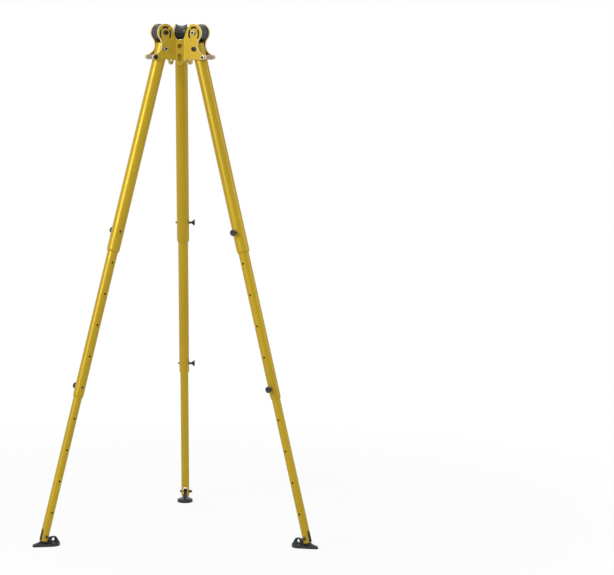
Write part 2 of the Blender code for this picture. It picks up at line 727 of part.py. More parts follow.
def lashing_eye_cutter():
    """Cutter for the eye in the lashing loop, with a flared rim on both sides of the web."""
    low = SOLE_THICKNESS - FOOT_BOLT_HEIGHT + EYE_FLOOR
    high = LOOP_TOP - EYE_ROOF
    front = LOOP_CENTRE + EYE_FRONT
    back = LOOP_CENTRE - EYE_BACK
    outline = rounded([
        (front, low, EYE_CORNER),
        (back, low, EYE_CORNER),
        (back, high, EYE_CORNER),
        (back + EYE_TOP_WIDTH, high, EYE_CORNER),
    ], 1)
    middle = Vector(((front + back) / 2, (low + high) / 2))
    half = WEB_THICKNESS / 2
    flare = 1 + 2 * LOOP_RIM / (front - back)
    wide = flare + (flare - 1) * SEAT_GAP / LOOP_RIM
    outside = half + SEAT_GAP
    inside = half - LOOP_RIM
    bm = bmesh.new()
    rings = []
    for depth, scale in ((-outside, wide), (-inside, 1.0), (inside, 1.0), (outside, wide)):
        points = [middle + (Vector(point) - middle) * scale for point in outline]
        rings.append([bm.verts.new((point.x, depth, point.y)) for point in points])
    for near, far in zip(rings, rings[1:]):
        for index in range(len(near)):
            bm.faces.new((near[index - 1], near[index], far[index], far[index - 1]))
    bm.faces.new(rings[0])
    bm.faces.new(rings[-1][::-1])
    return finish_mesh(bm, "lashing_eye")


def foot_mesh():
    """The cast shoe: sole and web in one solid, its bolt eye on the origin."""
    shoe = combine(sole_mesh(), web_mesh(), "UNION")
    return combine(shoe, lashing_eye_cutter(), "DIFFERENCE")


def ground_centre():
    """Middle of the footprint along Y, which the model's origin is placed under."""
    back = FOOT_CIRCLE + TOE_CENTRE + TOE_RADIUS
    front = (FOOT_CIRCLE + TOE_CENTRE) / 2 + TOE_RADIUS
    return (back - front) / 2


def build_head(root, parts, finishes):
    """Head plates, and over each leg the pulley, its bush, and the bolts with their nuts."""
    for name, azimuth in PLATE_AZIMUTHS.items():
        turn = (0.0, 0.0, math.radians(azimuth))
        place(
            "head_plate_" + name, parts["head_plate"], finishes["yellow"], root,
            (0.0, 0.0, PIVOT_HEIGHT), turn,
        )
    for name, azimuth in LEG_AZIMUTHS.items():
        frame = empty("leg_frame_" + name, root, rotation=(0.0, 0.0, math.radians(azimuth)))
        axle = (PULLEY_CENTRE_RADIUS, 0.0, PIVOT_HEIGHT + PULLEY_RISE)
        pivot = (PIVOT_RADIUS, 0.0, PIVOT_HEIGHT)
        stop = (STOP_RADIUS, 0.0, PIVOT_HEIGHT + STOP_HEIGHT)
        reverse = (0.0, 0.0, math.pi)
        place("pulley_" + name, parts["pulley"], finishes["nylon"], frame, axle)
        place("pulley_bush_" + name, parts["pulley_bush"], finishes["bronze"], frame, axle)
        place("axle_bolt_" + name, parts["head_bolt"], finishes["black"], frame, axle)
        place("axle_nut_" + name, parts["head_nut"], finishes["zinc"], frame, axle)
        place("pivot_bolt_" + name, parts["head_bolt"], finishes["black"], frame, pivot, reverse)
        place("pivot_nut_" + name, parts["head_nut"], finishes["zinc"], frame, pivot, reverse)
        place("stop_bolt_" + name, parts["head_bolt"], finishes["black"], frame, stop)
        place("stop_nut_" + name, parts["head_nut"], finishes["zinc"], frame, stop)
        place("stop_spacer_" + name, parts["stop_spacer"], finishes["zinc"], frame, stop)
        build_leg(name, frame, pivot, parts, finishes)


def build_leg(name, frame, pivot, parts, finishes):
    """One leg: every stage hangs from an empty that marks its joint."""
    clockwise = (0.0, 0.0, math.pi)
    fold = empty("leg_fold_" + name, frame, pivot, (0.0, -LEG_LEAN, 0.0))
    place("upper_tube_" + name, parts["upper_tube"], finishes["yellow"], fold)
    upper_pin = (0.0, 0.0, -UPPER_PIN_STATION)
    place("upper_lock_pin_" + name, parts["upper_pin"], finishes["black"], fold, upper_pin, clockwise)

    middle = empty("middle_slide_" + name, fold)
    place("middle_tube_" + name, parts["middle_tube"], finishes["yellow"], middle)
    place("middle_guide_" + name, parts["middle_guide"], finishes["nylon"], middle)
    lower_pin = (0.0, 0.0, -LOWER_PIN_STATION)
    place("lower_lock_pin_" + name, parts["lower_pin"], finishes["black"], middle, lower_pin, clockwise)

    lower = empty("lower_slide_" + name, middle)
    place("lower_tube_" + name, parts["lower_tube"], finishes["yellow"], lower)
    place("lower_guide_" + name, parts["lower_guide"], finishes["nylon"], lower)
    ankle = (0.0, 0.0, -FOOT_STATION)
    place("foot_bolt_" + name, parts["foot_bolt"], finishes["black"], lower, ankle)
    place("foot_nut_" + name, parts["foot_nut"], finishes["black"], lower, ankle)
    tilt = empty("foot_tilt_" + name, lower, ankle, (0.0, LEG_LEAN, 0.0))
    place("foot_" + name, parts["foot"], finishes["cast"], tilt)


def main():
    """Build the whole tripod."""
    clear_scene()
    finishes = {
        "yellow": material("yellow_paint", (0.66, 0.44, 0.03), 0.25, 0.35),
        "nylon": material("dark_nylon", (0.045, 0.05, 0.055), 0.0, 0.5),
        "bronze": material("bronze", (0.45, 0.30, 0.14), 0.9, 0.35),
        "black": material("black_steel", (0.02, 0.02, 0.02), 0.5, 0.4),
        "zinc": material("zinc_plate", (0.62, 0.60, 0.56), 0.9, 0.35),
        "cast": material("dark_casting", (0.06, 0.06, 0.065), 0.3, 0.55),
    }
    plate_grip = 2 * CHEEK_OUTER
    between_cheeks = 2 * (CHEEK_INNER - SEAT_GAP)
    nut_room = NUT_HEIGHT + BOLT_TAIL
    foot_nut_room = FOOT_NUT_HEIGHT + FOOT_BOLT_TAIL
    parts = {
        "head_plate": head_plate_mesh(),
        "pulley": pulley_mesh(),
        "pulley_bush": sleeve_mesh(BUSH_D, BOLT_HOLE_D, between_cheeks),
        "stop_spacer": sleeve_mesh(STOP_SPACER_D, BOLT_HOLE_D, between_cheeks),
        "head_bolt": bolt_mesh(
            BOLT_D, BOLT_HEAD_D, BOLT_HEAD_HEIGHT, SOCKET_AF, SOCKET_DEPTH, plate_grip, nut_room
        ),
        "head_nut": nut_mesh(NUT_AF, NUT_HEIGHT, BOLT_HOLE_D, CHEEK_OUTER),
        "upper_tube": upper_tube_mesh(),
        "middle_tube": middle_tube_mesh(),
        "lower_tube": lower_tube_mesh(),
        "middle_guide": guide_mesh(MIDDLE_BORE, UPPER_BORE, MIDDLE_TOP),
        "lower_guide": guide_mesh(LOWER_BORE, MIDDLE_BORE, LOWER_TOP),
        "upper_pin": lock_pin_mesh(UPPER_OD, UPPER_WALL),
        "lower_pin": lock_pin_mesh(MIDDLE_OD, MIDDLE_WALL),
        "foot": foot_mesh(),
        "foot_bolt": bolt_mesh(
            FOOT_BOLT_D, FOOT_HEAD_D, FOOT_HEAD_HEIGHT, FOOT_SOCKET_AF, FOOT_SOCKET_DEPTH,
            LOWER_OD, foot_nut_room,
        ),
        "foot_nut": nut_mesh(FOOT_NUT_AF, FOOT_NUT_HEIGHT, FOOT_HOLE_D, LOWER_OD / 2),
    }
    root = empty("tripod_frame", None, (0.0, -ground_centre(), 0.0))
    build_head(root, parts, finishes)
    for mesh in list(bpy.data.meshes):
        if mesh.users == 0:
            bpy.data.meshes.remove(mesh)


main()
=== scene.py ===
"""Visible pieces of an aluminium lifting tripod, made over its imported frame.

The file is laid out as an add-on: sizes and colours are properties, each group of like pieces has
its own operator, and a panel in the sidebar lists them. Run as a script, it makes every piece and
the stage in order. A leg's pieces are made once in the leg's own frame, whose origin lies on the
leg's pivot, X outwards, Y along the pivot bolt and Z up the tubes, and are then carried to all
three legs.
"""

import json
import math

import bmesh
import bpy
import numpy as np
from bpy.props import FloatProperty, FloatVectorProperty, IntProperty, PointerProperty
from mathutils import Matrix, Vector


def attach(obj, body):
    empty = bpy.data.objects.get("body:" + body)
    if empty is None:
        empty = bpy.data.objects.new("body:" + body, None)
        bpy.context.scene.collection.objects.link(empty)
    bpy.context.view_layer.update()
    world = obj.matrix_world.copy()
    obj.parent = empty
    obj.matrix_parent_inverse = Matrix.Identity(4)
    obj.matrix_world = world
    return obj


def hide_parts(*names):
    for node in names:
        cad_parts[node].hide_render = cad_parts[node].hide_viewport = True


bl_info = {
    "name": "Lifting Tripod",
    "version": (1, 0, 0),
    "blender": (4, 5, 0),
    "location": "3D View > Sidebar > Tripod",
    "description": "Makes the pieces of a telescopic tripod over its frame, one operator each",
    "category": "Object",
}

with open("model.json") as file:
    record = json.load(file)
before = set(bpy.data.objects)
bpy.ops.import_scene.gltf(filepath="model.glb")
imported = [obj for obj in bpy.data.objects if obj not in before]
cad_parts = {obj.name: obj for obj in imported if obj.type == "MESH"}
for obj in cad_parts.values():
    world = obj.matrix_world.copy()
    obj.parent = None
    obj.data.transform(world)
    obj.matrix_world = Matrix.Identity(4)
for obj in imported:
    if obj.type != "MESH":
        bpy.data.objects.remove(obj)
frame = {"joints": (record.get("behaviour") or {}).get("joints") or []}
JOINTS = {joint["name"]: joint for joint in frame["joints"]}
LEGS = ("front_left", "front_right", "rear")
PLATES = {"front": 270.0, "rear_right": 30.0, "rear_left": 150.0}
WING = math.radians(30.0)
UNMOVED = Matrix.Identity(4)
HALF_TURN = Matrix.Rotation(math.pi, 4, "Z")
WHITE = (1.0, 1.0, 1.0, 1.0)

# Points round a tube or pin and round a bolt or nut, and the rings of a patch round a lock hole
TUBE_COLUMNS = 96
BOLT_COLUMNS = 192
PATCH_RINGS = (0.0, 0.3, 0.55, 0.78, 1.0)
KNURL_TEETH = 48

# Rows over a tube's hole, an end slot's crown and a mouth
HOLE_ROWS = 9
CROWN_ROWS = 11
MOUTH_ROWS = 13

# Metres: points this close are merged, the patch's reach past a hole, the depth of a mouth's lip,
# the gap under bolt heads and guides, and the height below which a shoe's sole is made flat
WELD = 2e-6
PATCH_MARGIN = 0.0033
LIP_DEPTH = 0.0025
SEAT_GAP = 0.0003
FLAT_SOLE = 0.0007
THREAD_PITCH = 0.00175
THREAD_DEPTH = 0.0007
THREAD_LENGTH = 0.012
KNURL_DEPTH = 0.00009
HEAD_SOCKET_DEPTH = 0.005
FOOT_SOCKET_DEPTH = 0.004
NUT_CHAMFER = 0.0014
FLOOR_REACH = 400.0
LAMP_TARGET = Vector((0.0, -0.19, 1.25))

# Edges sharper than this many degrees are broken; turns of a socket and a nut, in radians
BREAK_ANGLE = 38.0
SOCKET_TURN = 0.3
NUT_TURN = 0.2

# Ends of the arc slots round a pulley's axle, in degrees
TOP_SLOT = (57.0, 123.0)
SIDE_SLOTS = ((1, -24.0, 24.0), (-1, 156.0, 204.0))


def plain(name, description, default, **settings):
    """A plain property."""
    return FloatProperty(name=name, description=description, default=default, **settings)


def height(name, description, default, **settings):
    """A property in metres that may lie below or behind its origin."""
    return plain(name, description, default, precision=5, unit="LENGTH", **settings)


def length(name, description, default):
    """A property in metres that is never negative."""
    return height(name, description, default, min=0.0)


def whole(name, description, default):
    """A whole number of at least one."""
    return IntProperty(name=name, description=description, default=default, min=1)


def colour(name, description, default):
    """A colour property in linear values."""
    return FloatVectorProperty(
        name=name, description=description, default=default, min=0.0, max=1.0, subtype="COLOR"
    )


class TripodLegSizes(bpy.types.PropertyGroup):
    """Sizes of a leg's tubes; stations are measured down the leg from its pivot."""
    upper_diameter: length("Upper tube", "Outer diameter of the upper tube", 0.060)
    upper_wall: length("Upper wall", "Wall of the upper tube", 0.0035)
    middle_diameter: length("Middle tube", "Outer diameter of the middle tube", 0.049)
    middle_wall: length("Middle wall", "Wall of the middle tube", 0.003)
    lower_diameter: length("Lower tube", "Outer diameter of the lower tube", 0.040)
    lower_wall: length("Lower wall", "Wall of the lower tube", 0.0035)
    tube_gap: length("Mouth gap", "Gap round a sliding tube in the mouth above it", 0.0005)
    mouth_length: length("Mouth length", "Length of a tube's drawn-in mouth", 0.013)
    mouth_wall: length("Mouth wall", "Wall of a mouth at its lip", 0.0015)
    upper_top: length("Upper top", "Reach of the upper tube above the pivot", 0.022)
    upper_pin: length("Upper pin", "Station of the upper lock pin", 0.880)
    upper_end: length("Upper end", "Station of the upper tube's mouth", 0.980)
    middle_top: length("Middle top", "Station of the middle tube's top", 0.760)
    middle_end: length("Middle end", "Station of the middle tube's mouth", 1.680)
    lower_top: length("Lower top", "Station of the lower tube's top", 1.510)
    lower_end: length("Lower end", "Station of the lower tube's foot end", 2.368)
    hole_spacing: length("Hole spacing", "Distance between lock holes", 0.150)
    stage_holes: whole("Stage holes", "Spacings between the pins", 5)
    travel_holes: whole("Travel holes", "Spacings of a stage's travel", 4)
    lock_hole: length("Lock hole", "Diameter of a lock hole", 0.0098)
    seat_gap: length("Seat gap", "Gap between seated pieces", 0.0003)
    slot_width: length("Inner slot width", "Width of the inner slot in the foot end", 0.0188)
    outer_slot_width: length("Outer slot width", "Width of the outer slot in the foot end", 0.024)
    inner_slot: length("Inner slot", "Top of the inner end slot above the foot bolt", 0.032)
    outer_slot: length("Outer slot", "Top of the outer end slot above the foot bolt", 0.032)
    slot_crown: length("Slot crown", "Height of the arched top of the end slots", 0.004)
    edge_break: length("Edge break", "Rounding of the tubes' cut edges", 0.0005)


class TripodHeadSizes(bpy.types.PropertyGroup):
    """Sizes of the head; heights are measured from the leg pivots."""
    plate_thickness: length("Plate thickness", "Thickness of a head plate", 0.010)
    plate_edge: length("Plate edge", "Rounding of a plate's cut edges", 0.0012)
    cheek_gap: length("Cheek gap", "Gap between a plate and the upper tube", 0.0008)
    centre_flat: length("Centre flat", "Width of a plate's middle between its bends", 0.036)
    bend_radius: length("Bend radius", "Inner radius of a plate's bends", 0.008)
    ear_radius: length("Ear radius", "Radius of a pulley ear", 0.041)
    lobe_radius: length("Lobe radius", "Radius round a stop bolt", 0.012)
    neck_radius: length("Neck radius", "Radius of the waist between ear and lobe", 0.046)
    valley_radius: length("Valley radius", "Radius of the valley between the ears", 0.025)
    valley_bottom: height("Valley bottom", "Height of the valley's lowest point", 0.042)
    tab_radius: length("Tab radius", "Radius of the hanging tab", 0.018)
    tab_bottom: height("Tab bottom", "Height of the tab's lowest point", -0.0755)
    tab_fillet: length("Tab fillet", "Fillet beside the tab", 0.016)
    anchor_width: length("Anchor slot", "Width of the anchor slot", 0.022)
    anchor_top: height("Anchor slot top", "Height of the anchor slot's top", -0.0215)
    anchor_bottom: height("Anchor slot bottom", "Height of the anchor slot's bottom", -0.0605)
    round_hole: length("Round hole", "Diameter of the round anchor hole", 0.022)
    round_height: height("Round hole height", "Height of the round anchor hole", 0.0115)
    arc_radius: length("Arc slot radius", "Radius on which the upper arc slot lies", 0.0248)
    arc_width: length("Arc slot width", "Width of the arc slots", 0.0095)
    side_offset: height("Side slot offset", "Reach of a side slot's centre past the axle", 0.014)
    side_radius: length("Side slot radius", "Radius on which a side slot lies", 0.040)
    side_drop: length("Side slot drop", "How far a side slot's middle lies below the axle", 0.0055)
    pulley_rise: height("Pulley rise", "Height of the pulley axles", 0.0755)
    pulley_inset: length("Pulley inset", "How far the axles stand inside the pivots", 0.002)
    pulley_radius: length("Pulley radius", "Radius of a pulley's rim", 0.0403)
    pulley_half: length("Pulley half width", "Half the width of a pulley's rim", 0.027)
    hub_play: length("Hub play", "Gap between a hub and a plate", 0.0006)
    groove_depth: length("Groove depth", "Depth of the rope groove", 0.008)
    flange_land: length("Flange land", "Width of the rim beside the groove", 0.003)
    hub_radius: length("Hub radius", "Radius of a pulley's hub", 0.018)
    bush_diameter: length("Bush", "Diameter of a pulley's bush", 0.022)
    bolt_diameter: length("Bolt", "Diameter of the head's bolts", 0.012)
    bolt_head: length("Bolt head", "Diameter of a bolt's head", 0.022)
    bolt_head_height: length("Head height", "Height of a bolt's head", 0.008)
    socket_width: length("Socket", "Width across the flats of a bolt's socket", 0.010)
    nut_width: length("Nut", "Width across a nut's flats", 0.019)
    nut_height: length("Nut height", "Height of a nut", 0.010)
    bolt_tail: length("Bolt tail", "Reach of a bolt past its nut", 0.003)
    stop_station: length("Stop station", "Station at which a leg rests on its stop", 0.0505)
    stop_diameter: length("Stop sleeve", "Diameter of a stop's sleeve", 0.0215)


class TripodPinAndFootSizes(bpy.types.PropertyGroup):
    """Sizes of the lock pins and of the shoes; a shoe's heights are measured from its bolt."""
    pin_shank: length("Pin shank", "Diameter of a lock pin's shank", 0.0086)
    pin_reach: length("Pin reach", "Reach of a lock pin past the far side of its tube", 0.007)
    pin_neck: length("Pin neck", "Diameter of a lock pin's neck", 0.0106)
    neck_length: length("Neck length", "Length of a lock pin's neck", 0.0145)
    knob: length("Knob", "Diameter of a lock pin's knob", 0.031)
    knob_length: length("Knob length", "Length of a lock pin's knob", 0.0135)
    bolt_above_floor: length("Foot bolt height", "Height of a foot bolt above the floor", 0.047)
    heel_centre: height("Heel centre", "Middle of the heel's arc, outwards", -0.0365)
    heel_radius: length("Heel radius", "Radius of the heel", 0.039)
    toe_centre: length("Toe centre", "Middle of the toe's arc, outwards", 0.0475)
    toe_radius: length("Toe radius", "Radius of the toe", 0.013)
    toe_edge: length("Toe edge", "Height of the sole's upright edge at the toe", 0.0085)
    toe_thickness: length("Toe thickness", "Thickness of the sole at the toe", 0.0115)
    heel_edge: length("Heel edge", "Height of the sole's upright edge at the heel", 0.0145)
    heel_thickness: length("Heel thickness", "Thickness of the sole at the heel", 0.0180)
    sole_slope: length("Sole slope", "Inward slope of the sole's upper edge", 0.003)
    web_thickness: length("Web", "Thickness of a shoe's web", 0.016)
    eye_radius: length("Bolt eye", "Radius of the eye round the foot bolt", 0.0138)
    loop_centre: height("Loop", "Middle of the lashing loop, outwards", -0.045)
    foot_bolt: length("Foot bolt", "Diameter of a foot bolt", 0.010)
    foot_head: length("Foot bolt head", "Diameter of a foot bolt's head", 0.0132)
    foot_head_height: length("Foot head height", "Height of a foot bolt's head", 0.0065)
    foot_socket: length("Foot bolt socket", "Width of a foot bolt's socket", 0.006)
    foot_nut: length("Foot nut", "Width across a foot nut's flats", 0.0146)
    foot_nut_height: length("Foot nut height", "Height of a foot nut", 0.010)
    foot_tail: length("Foot bolt tail", "Reach of a foot bolt past its nut", 0.005)
    grain: length("Casting grain", "Size of the cells from which a shoe is cast", 0.0011)


class TripodFinishes(bpy.types.PropertyGroup):
    """Colours of the finishes, in linear values."""
    coat: colour("Coat", "Yellow coat of the tubes", (0.470, 0.312, 0.006))
    plate_coat: colour("Plate coat", "Yellow coat of the head plates", (0.460, 0.302, 0.004))
    nylon: colour("Nylon", "Dark nylon of the pulleys", (0.026, 0.027, 0.024))
    bronze: colour("Bronze", "Bushes of the pulleys", (0.520, 0.330, 0.140))
    black: colour("Black steel", "Blackened bolts", (0.018, 0.017, 0.017))
    zinc: colour("Zinc", "Plated nuts", (0.520, 0.490, 0.420))
    sleeve: colour("Sleeve", "Plated stop sleeves", (0.300, 0.250, 0.160))
    foot_bolt: colour("Foot bolt", "Browned bolts of the shoes", (0.105, 0.070, 0.019))
    knob: colour("Knob", "Knobs of the lock pins", (0.009, 0.008, 0.008))
    pin: colour("Pin steel", "Shanks of the lock pins", (0.520, 0.515, 0.500))
    casting: colour("Casting", "Shoes", (0.013, 0.014, 0.015))


class TripodStageSettings(bpy.types.PropertyGroup):
    """Floor, lamps and camera."""
    floor: colour("Floor", "Colour of the floor", (0.86, 0.86, 0.86))
    pool: length("Pool", "Distance from the middle within which the floor shows its shadows", 1.0)
    sky_level: plain("Sky", "Level of the even light", 0.52, min=0.0)
    key_power: plain("Key lamp", "Power of the left lamp", 150.0, min=0.0)
    fill_power: plain("Fill lamp", "Power of the right lamp", 30.0, min=0.0)
    top_power: plain("Top lamp", "Power of the lamp above", 45.0, min=0.0)
    distance: length("Distance", "Level distance from the head's axis to the camera", 11.045)
    eye_height: length("Eye height", "Height of the camera above the floor", 2.4565)
    bearing: plain("Bearing", "Bearing of the camera round the head's axis, in degrees", 2.563)
    heading: plain("Heading", "Sideways turn of the view, in degrees", 3.148)
    pitch: plain("Pitch", "Downward tilt of the view, in degrees", 6.577)
    roll: plain("Roll", "Roll of the view, in degrees", 0.5206)
    lens: plain("Lens", "Focal length in millimetres", 136.53, min=1.0)


# Frames: where the pieces stand


def joint_point(kind, leg):
    """Where a leg's joint of a kind stands."""
    return Vector(JOINTS[f"{kind}_{leg}"]["pos_m"])


def bolt_frame(origin, leg, up=Vector((0.0, 0.0, 1.0))):
    """Frame with Y along a leg's pivot bolt and Z up a direction, X completing them outwards."""
    along = Vector(JOINTS["leg_fold_" + leg]["axis"]).normalized()
    matrix = Matrix((along.cross(up), along, up)).transposed().to_4x4()
    matrix.translation = origin
    return matrix


def leg_frame(leg):
    """Frame of a leg's tubes: origin on the pivot, Z from the foot bolt up to the pivot."""
    pivot = joint_point("leg_fold", leg)
    return bolt_frame(pivot, leg, (pivot - joint_point("foot_tilt", leg)).normalized())


def head_frame(leg):
    """Frame of the bolts over a leg: origin on the pivot, X level and outwards, Z upright."""
    return bolt_frame(joint_point("leg_fold", leg), leg)


def foot_frame(leg):
    """Frame of a shoe: origin on the foot bolt, X level and outwards, Z upright."""
    return bolt_frame(joint_point("foot_tilt", leg), leg)


def leg_reach():
    """Distance from a leg's pivot to its foot bolt, and the leg's lean from the upright."""
    leg = joint_point("leg_fold", "rear") - joint_point("foot_tilt", "rear")
    return leg.length, math.atan2(leg.xy.length, leg.z)


def head_axis():
    """Point on the head's upright axis as high as the pivots, and their distance from it."""
    pivots = [joint_point("leg_fold", leg) for leg in LEGS]
    centre = sum(pivots, Vector()) / len(pivots)
    return centre, (pivots[0] - centre).length


def plate_frame(plate):
    """Frame of a head plate: origin on the head's axis, X outwards through the plate's middle."""
    turn = Matrix.Rotation(math.radians(PLATES[plate]), 4, "Z")
    return Matrix.Translation(head_axis()[0]) @ turn


def axle_place(head):
    """Where a pulley's axle lies in the frame of the head over its leg."""
    return Matrix.Translation((-head.pulley_inset, 0.0, head.pulley_rise))


# Surfaces: shapes worked out as whole arrays


def grid_quads(rows, columns, round_rows=False, round_columns=False):
    """Corner numbers of the quads of a rows by columns grid of points, closed round where asked."""
    row, column = np.meshgrid(
        np.arange(rows if round_rows else rows - 1),
        np.arange(columns if round_columns else columns - 1), indexing="ij",
    )
    after_row = (row + 1) % rows
    after_column = (column + 1) % columns
    corners = (
        row * columns + column, row * columns + after_column,
        after_row * columns + after_column, after_row * columns + column,
    )
    return np.stack(corners, axis=-1).reshape(-1, 4)


def strip(first, second, closed=False):
    """Surface between two lines of as many points: (1 - t) times one plus t times the other."""
    points = np.concatenate((first, second))
    return points, grid_quads(2, len(first), round_columns=closed)


def rounded_path(corners, steps=4):
    """Line through (across, along, radius) corners, each with a radius replaced by a tangent arc.

    An arc's centre lies on the corner's bisector at radius / sin(half the corner's angle), and its
    ends lie on the two sides at radius / tan(half) from the corner.
    """
    path = []
    for index, (across, along, radius) in enumerate(corners):
        here = np.array((across, along))
        if radius == 0.0 or index in (0, len(corners) - 1):
            path.append(here[None, :])
            continue
        before = np.array(corners[index - 1][:2]) - here
        after = np.array(corners[index + 1][:2]) - here
        before = before / np.linalg.norm(before)
        after = after / np.linalg.norm(after)
        half = math.acos(np.clip(before @ after, -1.0, 1.0)) / 2
        bisector = (before + after) / np.linalg.norm(before + after)
        centre = here + bisector * radius / math.sin(half)
        first = here + before * radius / math.tan(half) - centre
        last = here + after * radius / math.tan(half) - centre
        start = math.atan2(first[1], first[0])
        sweep = (math.atan2(last[1], last[0]) - start + math.pi) % (2 * math.pi) - math.pi
        angles = start + sweep * np.linspace(0.0, 1.0, steps + 1)
        path.append(centre + radius * np.stack((np.cos(angles), np.sin(angles)), axis=1))
    return np.concatenate(path)


def arc(centre, radius, start, end, steps):
    """Points centre + radius (cos a, sin a) for a from start to end."""
    angles = np.linspace(start, end, steps + 1)
    return np.asarray(centre) + radius * np.stack((np.cos(angles), np.sin(angles)), axis=1)


def circle(centre, radius, steps):
    """A closed circle of points."""
    return arc(centre, radius, 0.0, 2 * math.pi, steps)[:-1]


def flat_sides(angle, turn):
    """A hexagon's radius with corners at 1: cos 30 / cos(a mod 60 - 30)."""
    return math.cos(math.pi / 6) / np.cos(np.mod(angle - turn, math.pi / 3) - math.pi / 6)


def turned(profile, sides=TUBE_COLUMNS, closed=False, hexagonal=None, knurl=None, turn=0.0):
    """Surface (r cos a, r sin a, z) of a profile of (r, z) points turned round Z.

    Where hexagonal is 1 the ring is a hexagon with corners at r. Where knurl is 1 the ring has
    shallow teeth: r minus a share of 1 + cos(48 a).
    """
    profile = np.asarray(profile, float)
    angle = np.linspace(0.0, 2 * math.pi, sides, endpoint=False)
    radius = profile[:, :1] * np.ones(sides)
    if hexagonal is not None:
        radius = radius * (1 + hexagonal[:, None] * (flat_sides(angle, turn) - 1))
    if knurl is not None:
        radius = radius - knurl[:, None] * KNURL_DEPTH * (1 + np.cos(KNURL_TEETH * angle))
    z = profile[:, 1:] * np.ones(sides)
    points = np.stack((radius * np.cos(angle), radius * np.sin(angle), z), axis=-1)
    return points.reshape(-1, 3), grid_quads(len(profile), sides, closed, True)


def threaded(radius, low, high):
    """Thread round Z: r = radius - depth |2 frac(z / pitch - a / 2 pi) - 1| between two heights.

    The thread fades out over its first and last half pitch, so that both ends are plain rings.
    """
    rows = int(round((high - low) / THREAD_PITCH * 8)) + 1
    z = np.linspace(low, high, rows)[:, None] * np.ones(BOLT_COLUMNS)
    angle = np.linspace(0.0, 2 * math.pi, BOLT_COLUMNS, endpoint=False)[None, :]
    phase = np.mod(z / THREAD_PITCH - angle / (2 * math.pi), 1.0)
    fade = np.clip(np.minimum(z - low, high - z) / (THREAD_PITCH / 2), 0.0, 1.0)
    r = radius - THREAD_DEPTH * (np.abs(2 * phase - 1) * fade + (1 - fade))
    points = np.stack((r * np.cos(angle), r * np.sin(angle), z), axis=-1)
    return points.reshape(-1, 3), grid_quads(rows, BOLT_COLUMNS, round_columns=True)


def along_y(surface):
    """A surface whose Z axis is laid along +Y: (x, y, z) becomes (x, z, -y)."""
    points, quads = surface
    return points[:, (0, 2, 1)] * (1.0, 1.0, -1.0), quads


def linked(name, data):
    """A new object that holds the data, linked to the scene."""
    item = bpy.data.objects.new(name, data)
    bpy.context.scene.collection.objects.link(item)
    return item


def modify(item, kind, **settings):
    """Add a modifier of a kind with its settings."""
    modifier = item.modifiers.new(kind.lower(), kind)
    for name, value in settings.items():
        setattr(modifier, name, value)


def evaluated(item, *others):
    """An object's mesh with its modifiers applied; the object and the others are then removed."""
    graph = bpy.context.evaluated_depsgraph_get()
    mesh = bpy.data.meshes.new_from_object(item.evaluated_get(graph))
    for used in (*others, item):
        bpy.data.objects.remove(used, do_unlink=True)
    return mesh


def points_of(mesh):
    """A mesh's vertices as an array of points."""
    points = np.empty(len(mesh.vertices) * 3)
    mesh.vertices.foreach_get("co", points)
    return points.reshape(-1, 3)


def store(mesh, name, values):
    """Store a number or a point of every vertex in an attribute."""
    kind, field = ("FLOAT", "value") if values.ndim == 1 else ("FLOAT_VECTOR", "vector")
    attribute = mesh.attributes.get(name) or mesh.attributes.new(name, kind, "POINT")
    attribute.data.foreach_set(field, values.astype(np.float32).ravel())


def mesh_from(name, surfaces):
    """One closed mesh from surfaces whose shared borders are welded, with its faces outwards."""
    points = np.concatenate([part for part, _ in surfaces])
    starts = np.cumsum([0] + [len(part) for part, _ in surfaces[:-1]])
    quads = np.concatenate([part + start for (_, part), start in zip(surfaces, starts)])
    used, quads = np.unique(quads, return_inverse=True)
    mesh = bpy.data.meshes.new(name)
    mesh.from_pydata(points[used].tolist(), [], quads.reshape(-1, 4).tolist())
    return welded(mesh)


def welded(mesh):
    """A mesh with its doubles merged and its faces outwards; its own coordinates stay as place."""
    bm = bmesh.new()
    bm.from_mesh(mesh)
    bmesh.ops.remove_doubles(bm, verts=bm.verts[:], dist=WELD)
    bmesh.ops.recalc_face_normals(bm, faces=bm.faces[:])
    if bm.calc_volume(signed=True) < 0.0:
        bmesh.ops.reverse_faces(bm, faces=bm.faces[:])
    open_edges = sum(not edge.is_manifold for edge in bm.edges)
    bm.to_mesh(mesh)
    bm.free()
    if open_edges:
        raise RuntimeError(f"{mesh.name} has {open_edges} open edges")
    store(mesh, "place", points_of(mesh))
    return mesh


def smoothed(mesh, edge_break=0.0, sharp=55.0):
    """A mesh with its sharp edges broken, and shading that keeps its flat faces flat."""
    mesh.shade_smooth()
    item = linked(mesh.name, mesh)
    if edge_break:
        modify(
            item, "BEVEL", width=edge_break, segments=2, limit_method="ANGLE",
            angle_limit=math.radians(BREAK_ANGLE), use_clamp_overlap=True,
        )
    else:
        mesh.set_sharp_from_angle(angle=math.radians(sharp))
    modify(item, "WEIGHTED_NORMAL", keep_sharp=True, weight=60)
    finished = evaluated(item)
    bpy.data.meshes.remove(mesh)
    return finished


def add_piece(node, mesh, matrix, body, finishes, batch):
    """Carry a copy of a finished mesh to its place, to stand for a node of the frame."""
    own = mesh.copy()
    own.name = node + "_skin"
    own.transform(matrix)
    store(own, "batch", np.full(len(own.vertices), batch))
    own.materials.clear()
    for name in finishes:
        own.materials.append(finish_named(name))
    item = linked(node + "_skin", own)
    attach(item, body)
    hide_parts(node)


def add_on_legs(frame_of, rows):
    """Add the pieces of a table on every leg, each carried to its own place in the leg's frame.

    A row holds the node, the mesh, its place, the body, the slot, the finishes and the batch,
    which gives each piece a tone of its own.
    """
    for number, leg in enumerate(LEGS):
        for node, mesh, place, body, slot, finishes, batch in rows:
            if body != "head":
                body = f"{body}_{leg}"
            matrix = frame_of(leg) @ place
            add_piece(f"{node}_{leg}", mesh, matrix, body, finishes, batch + number)


# Leg tubes


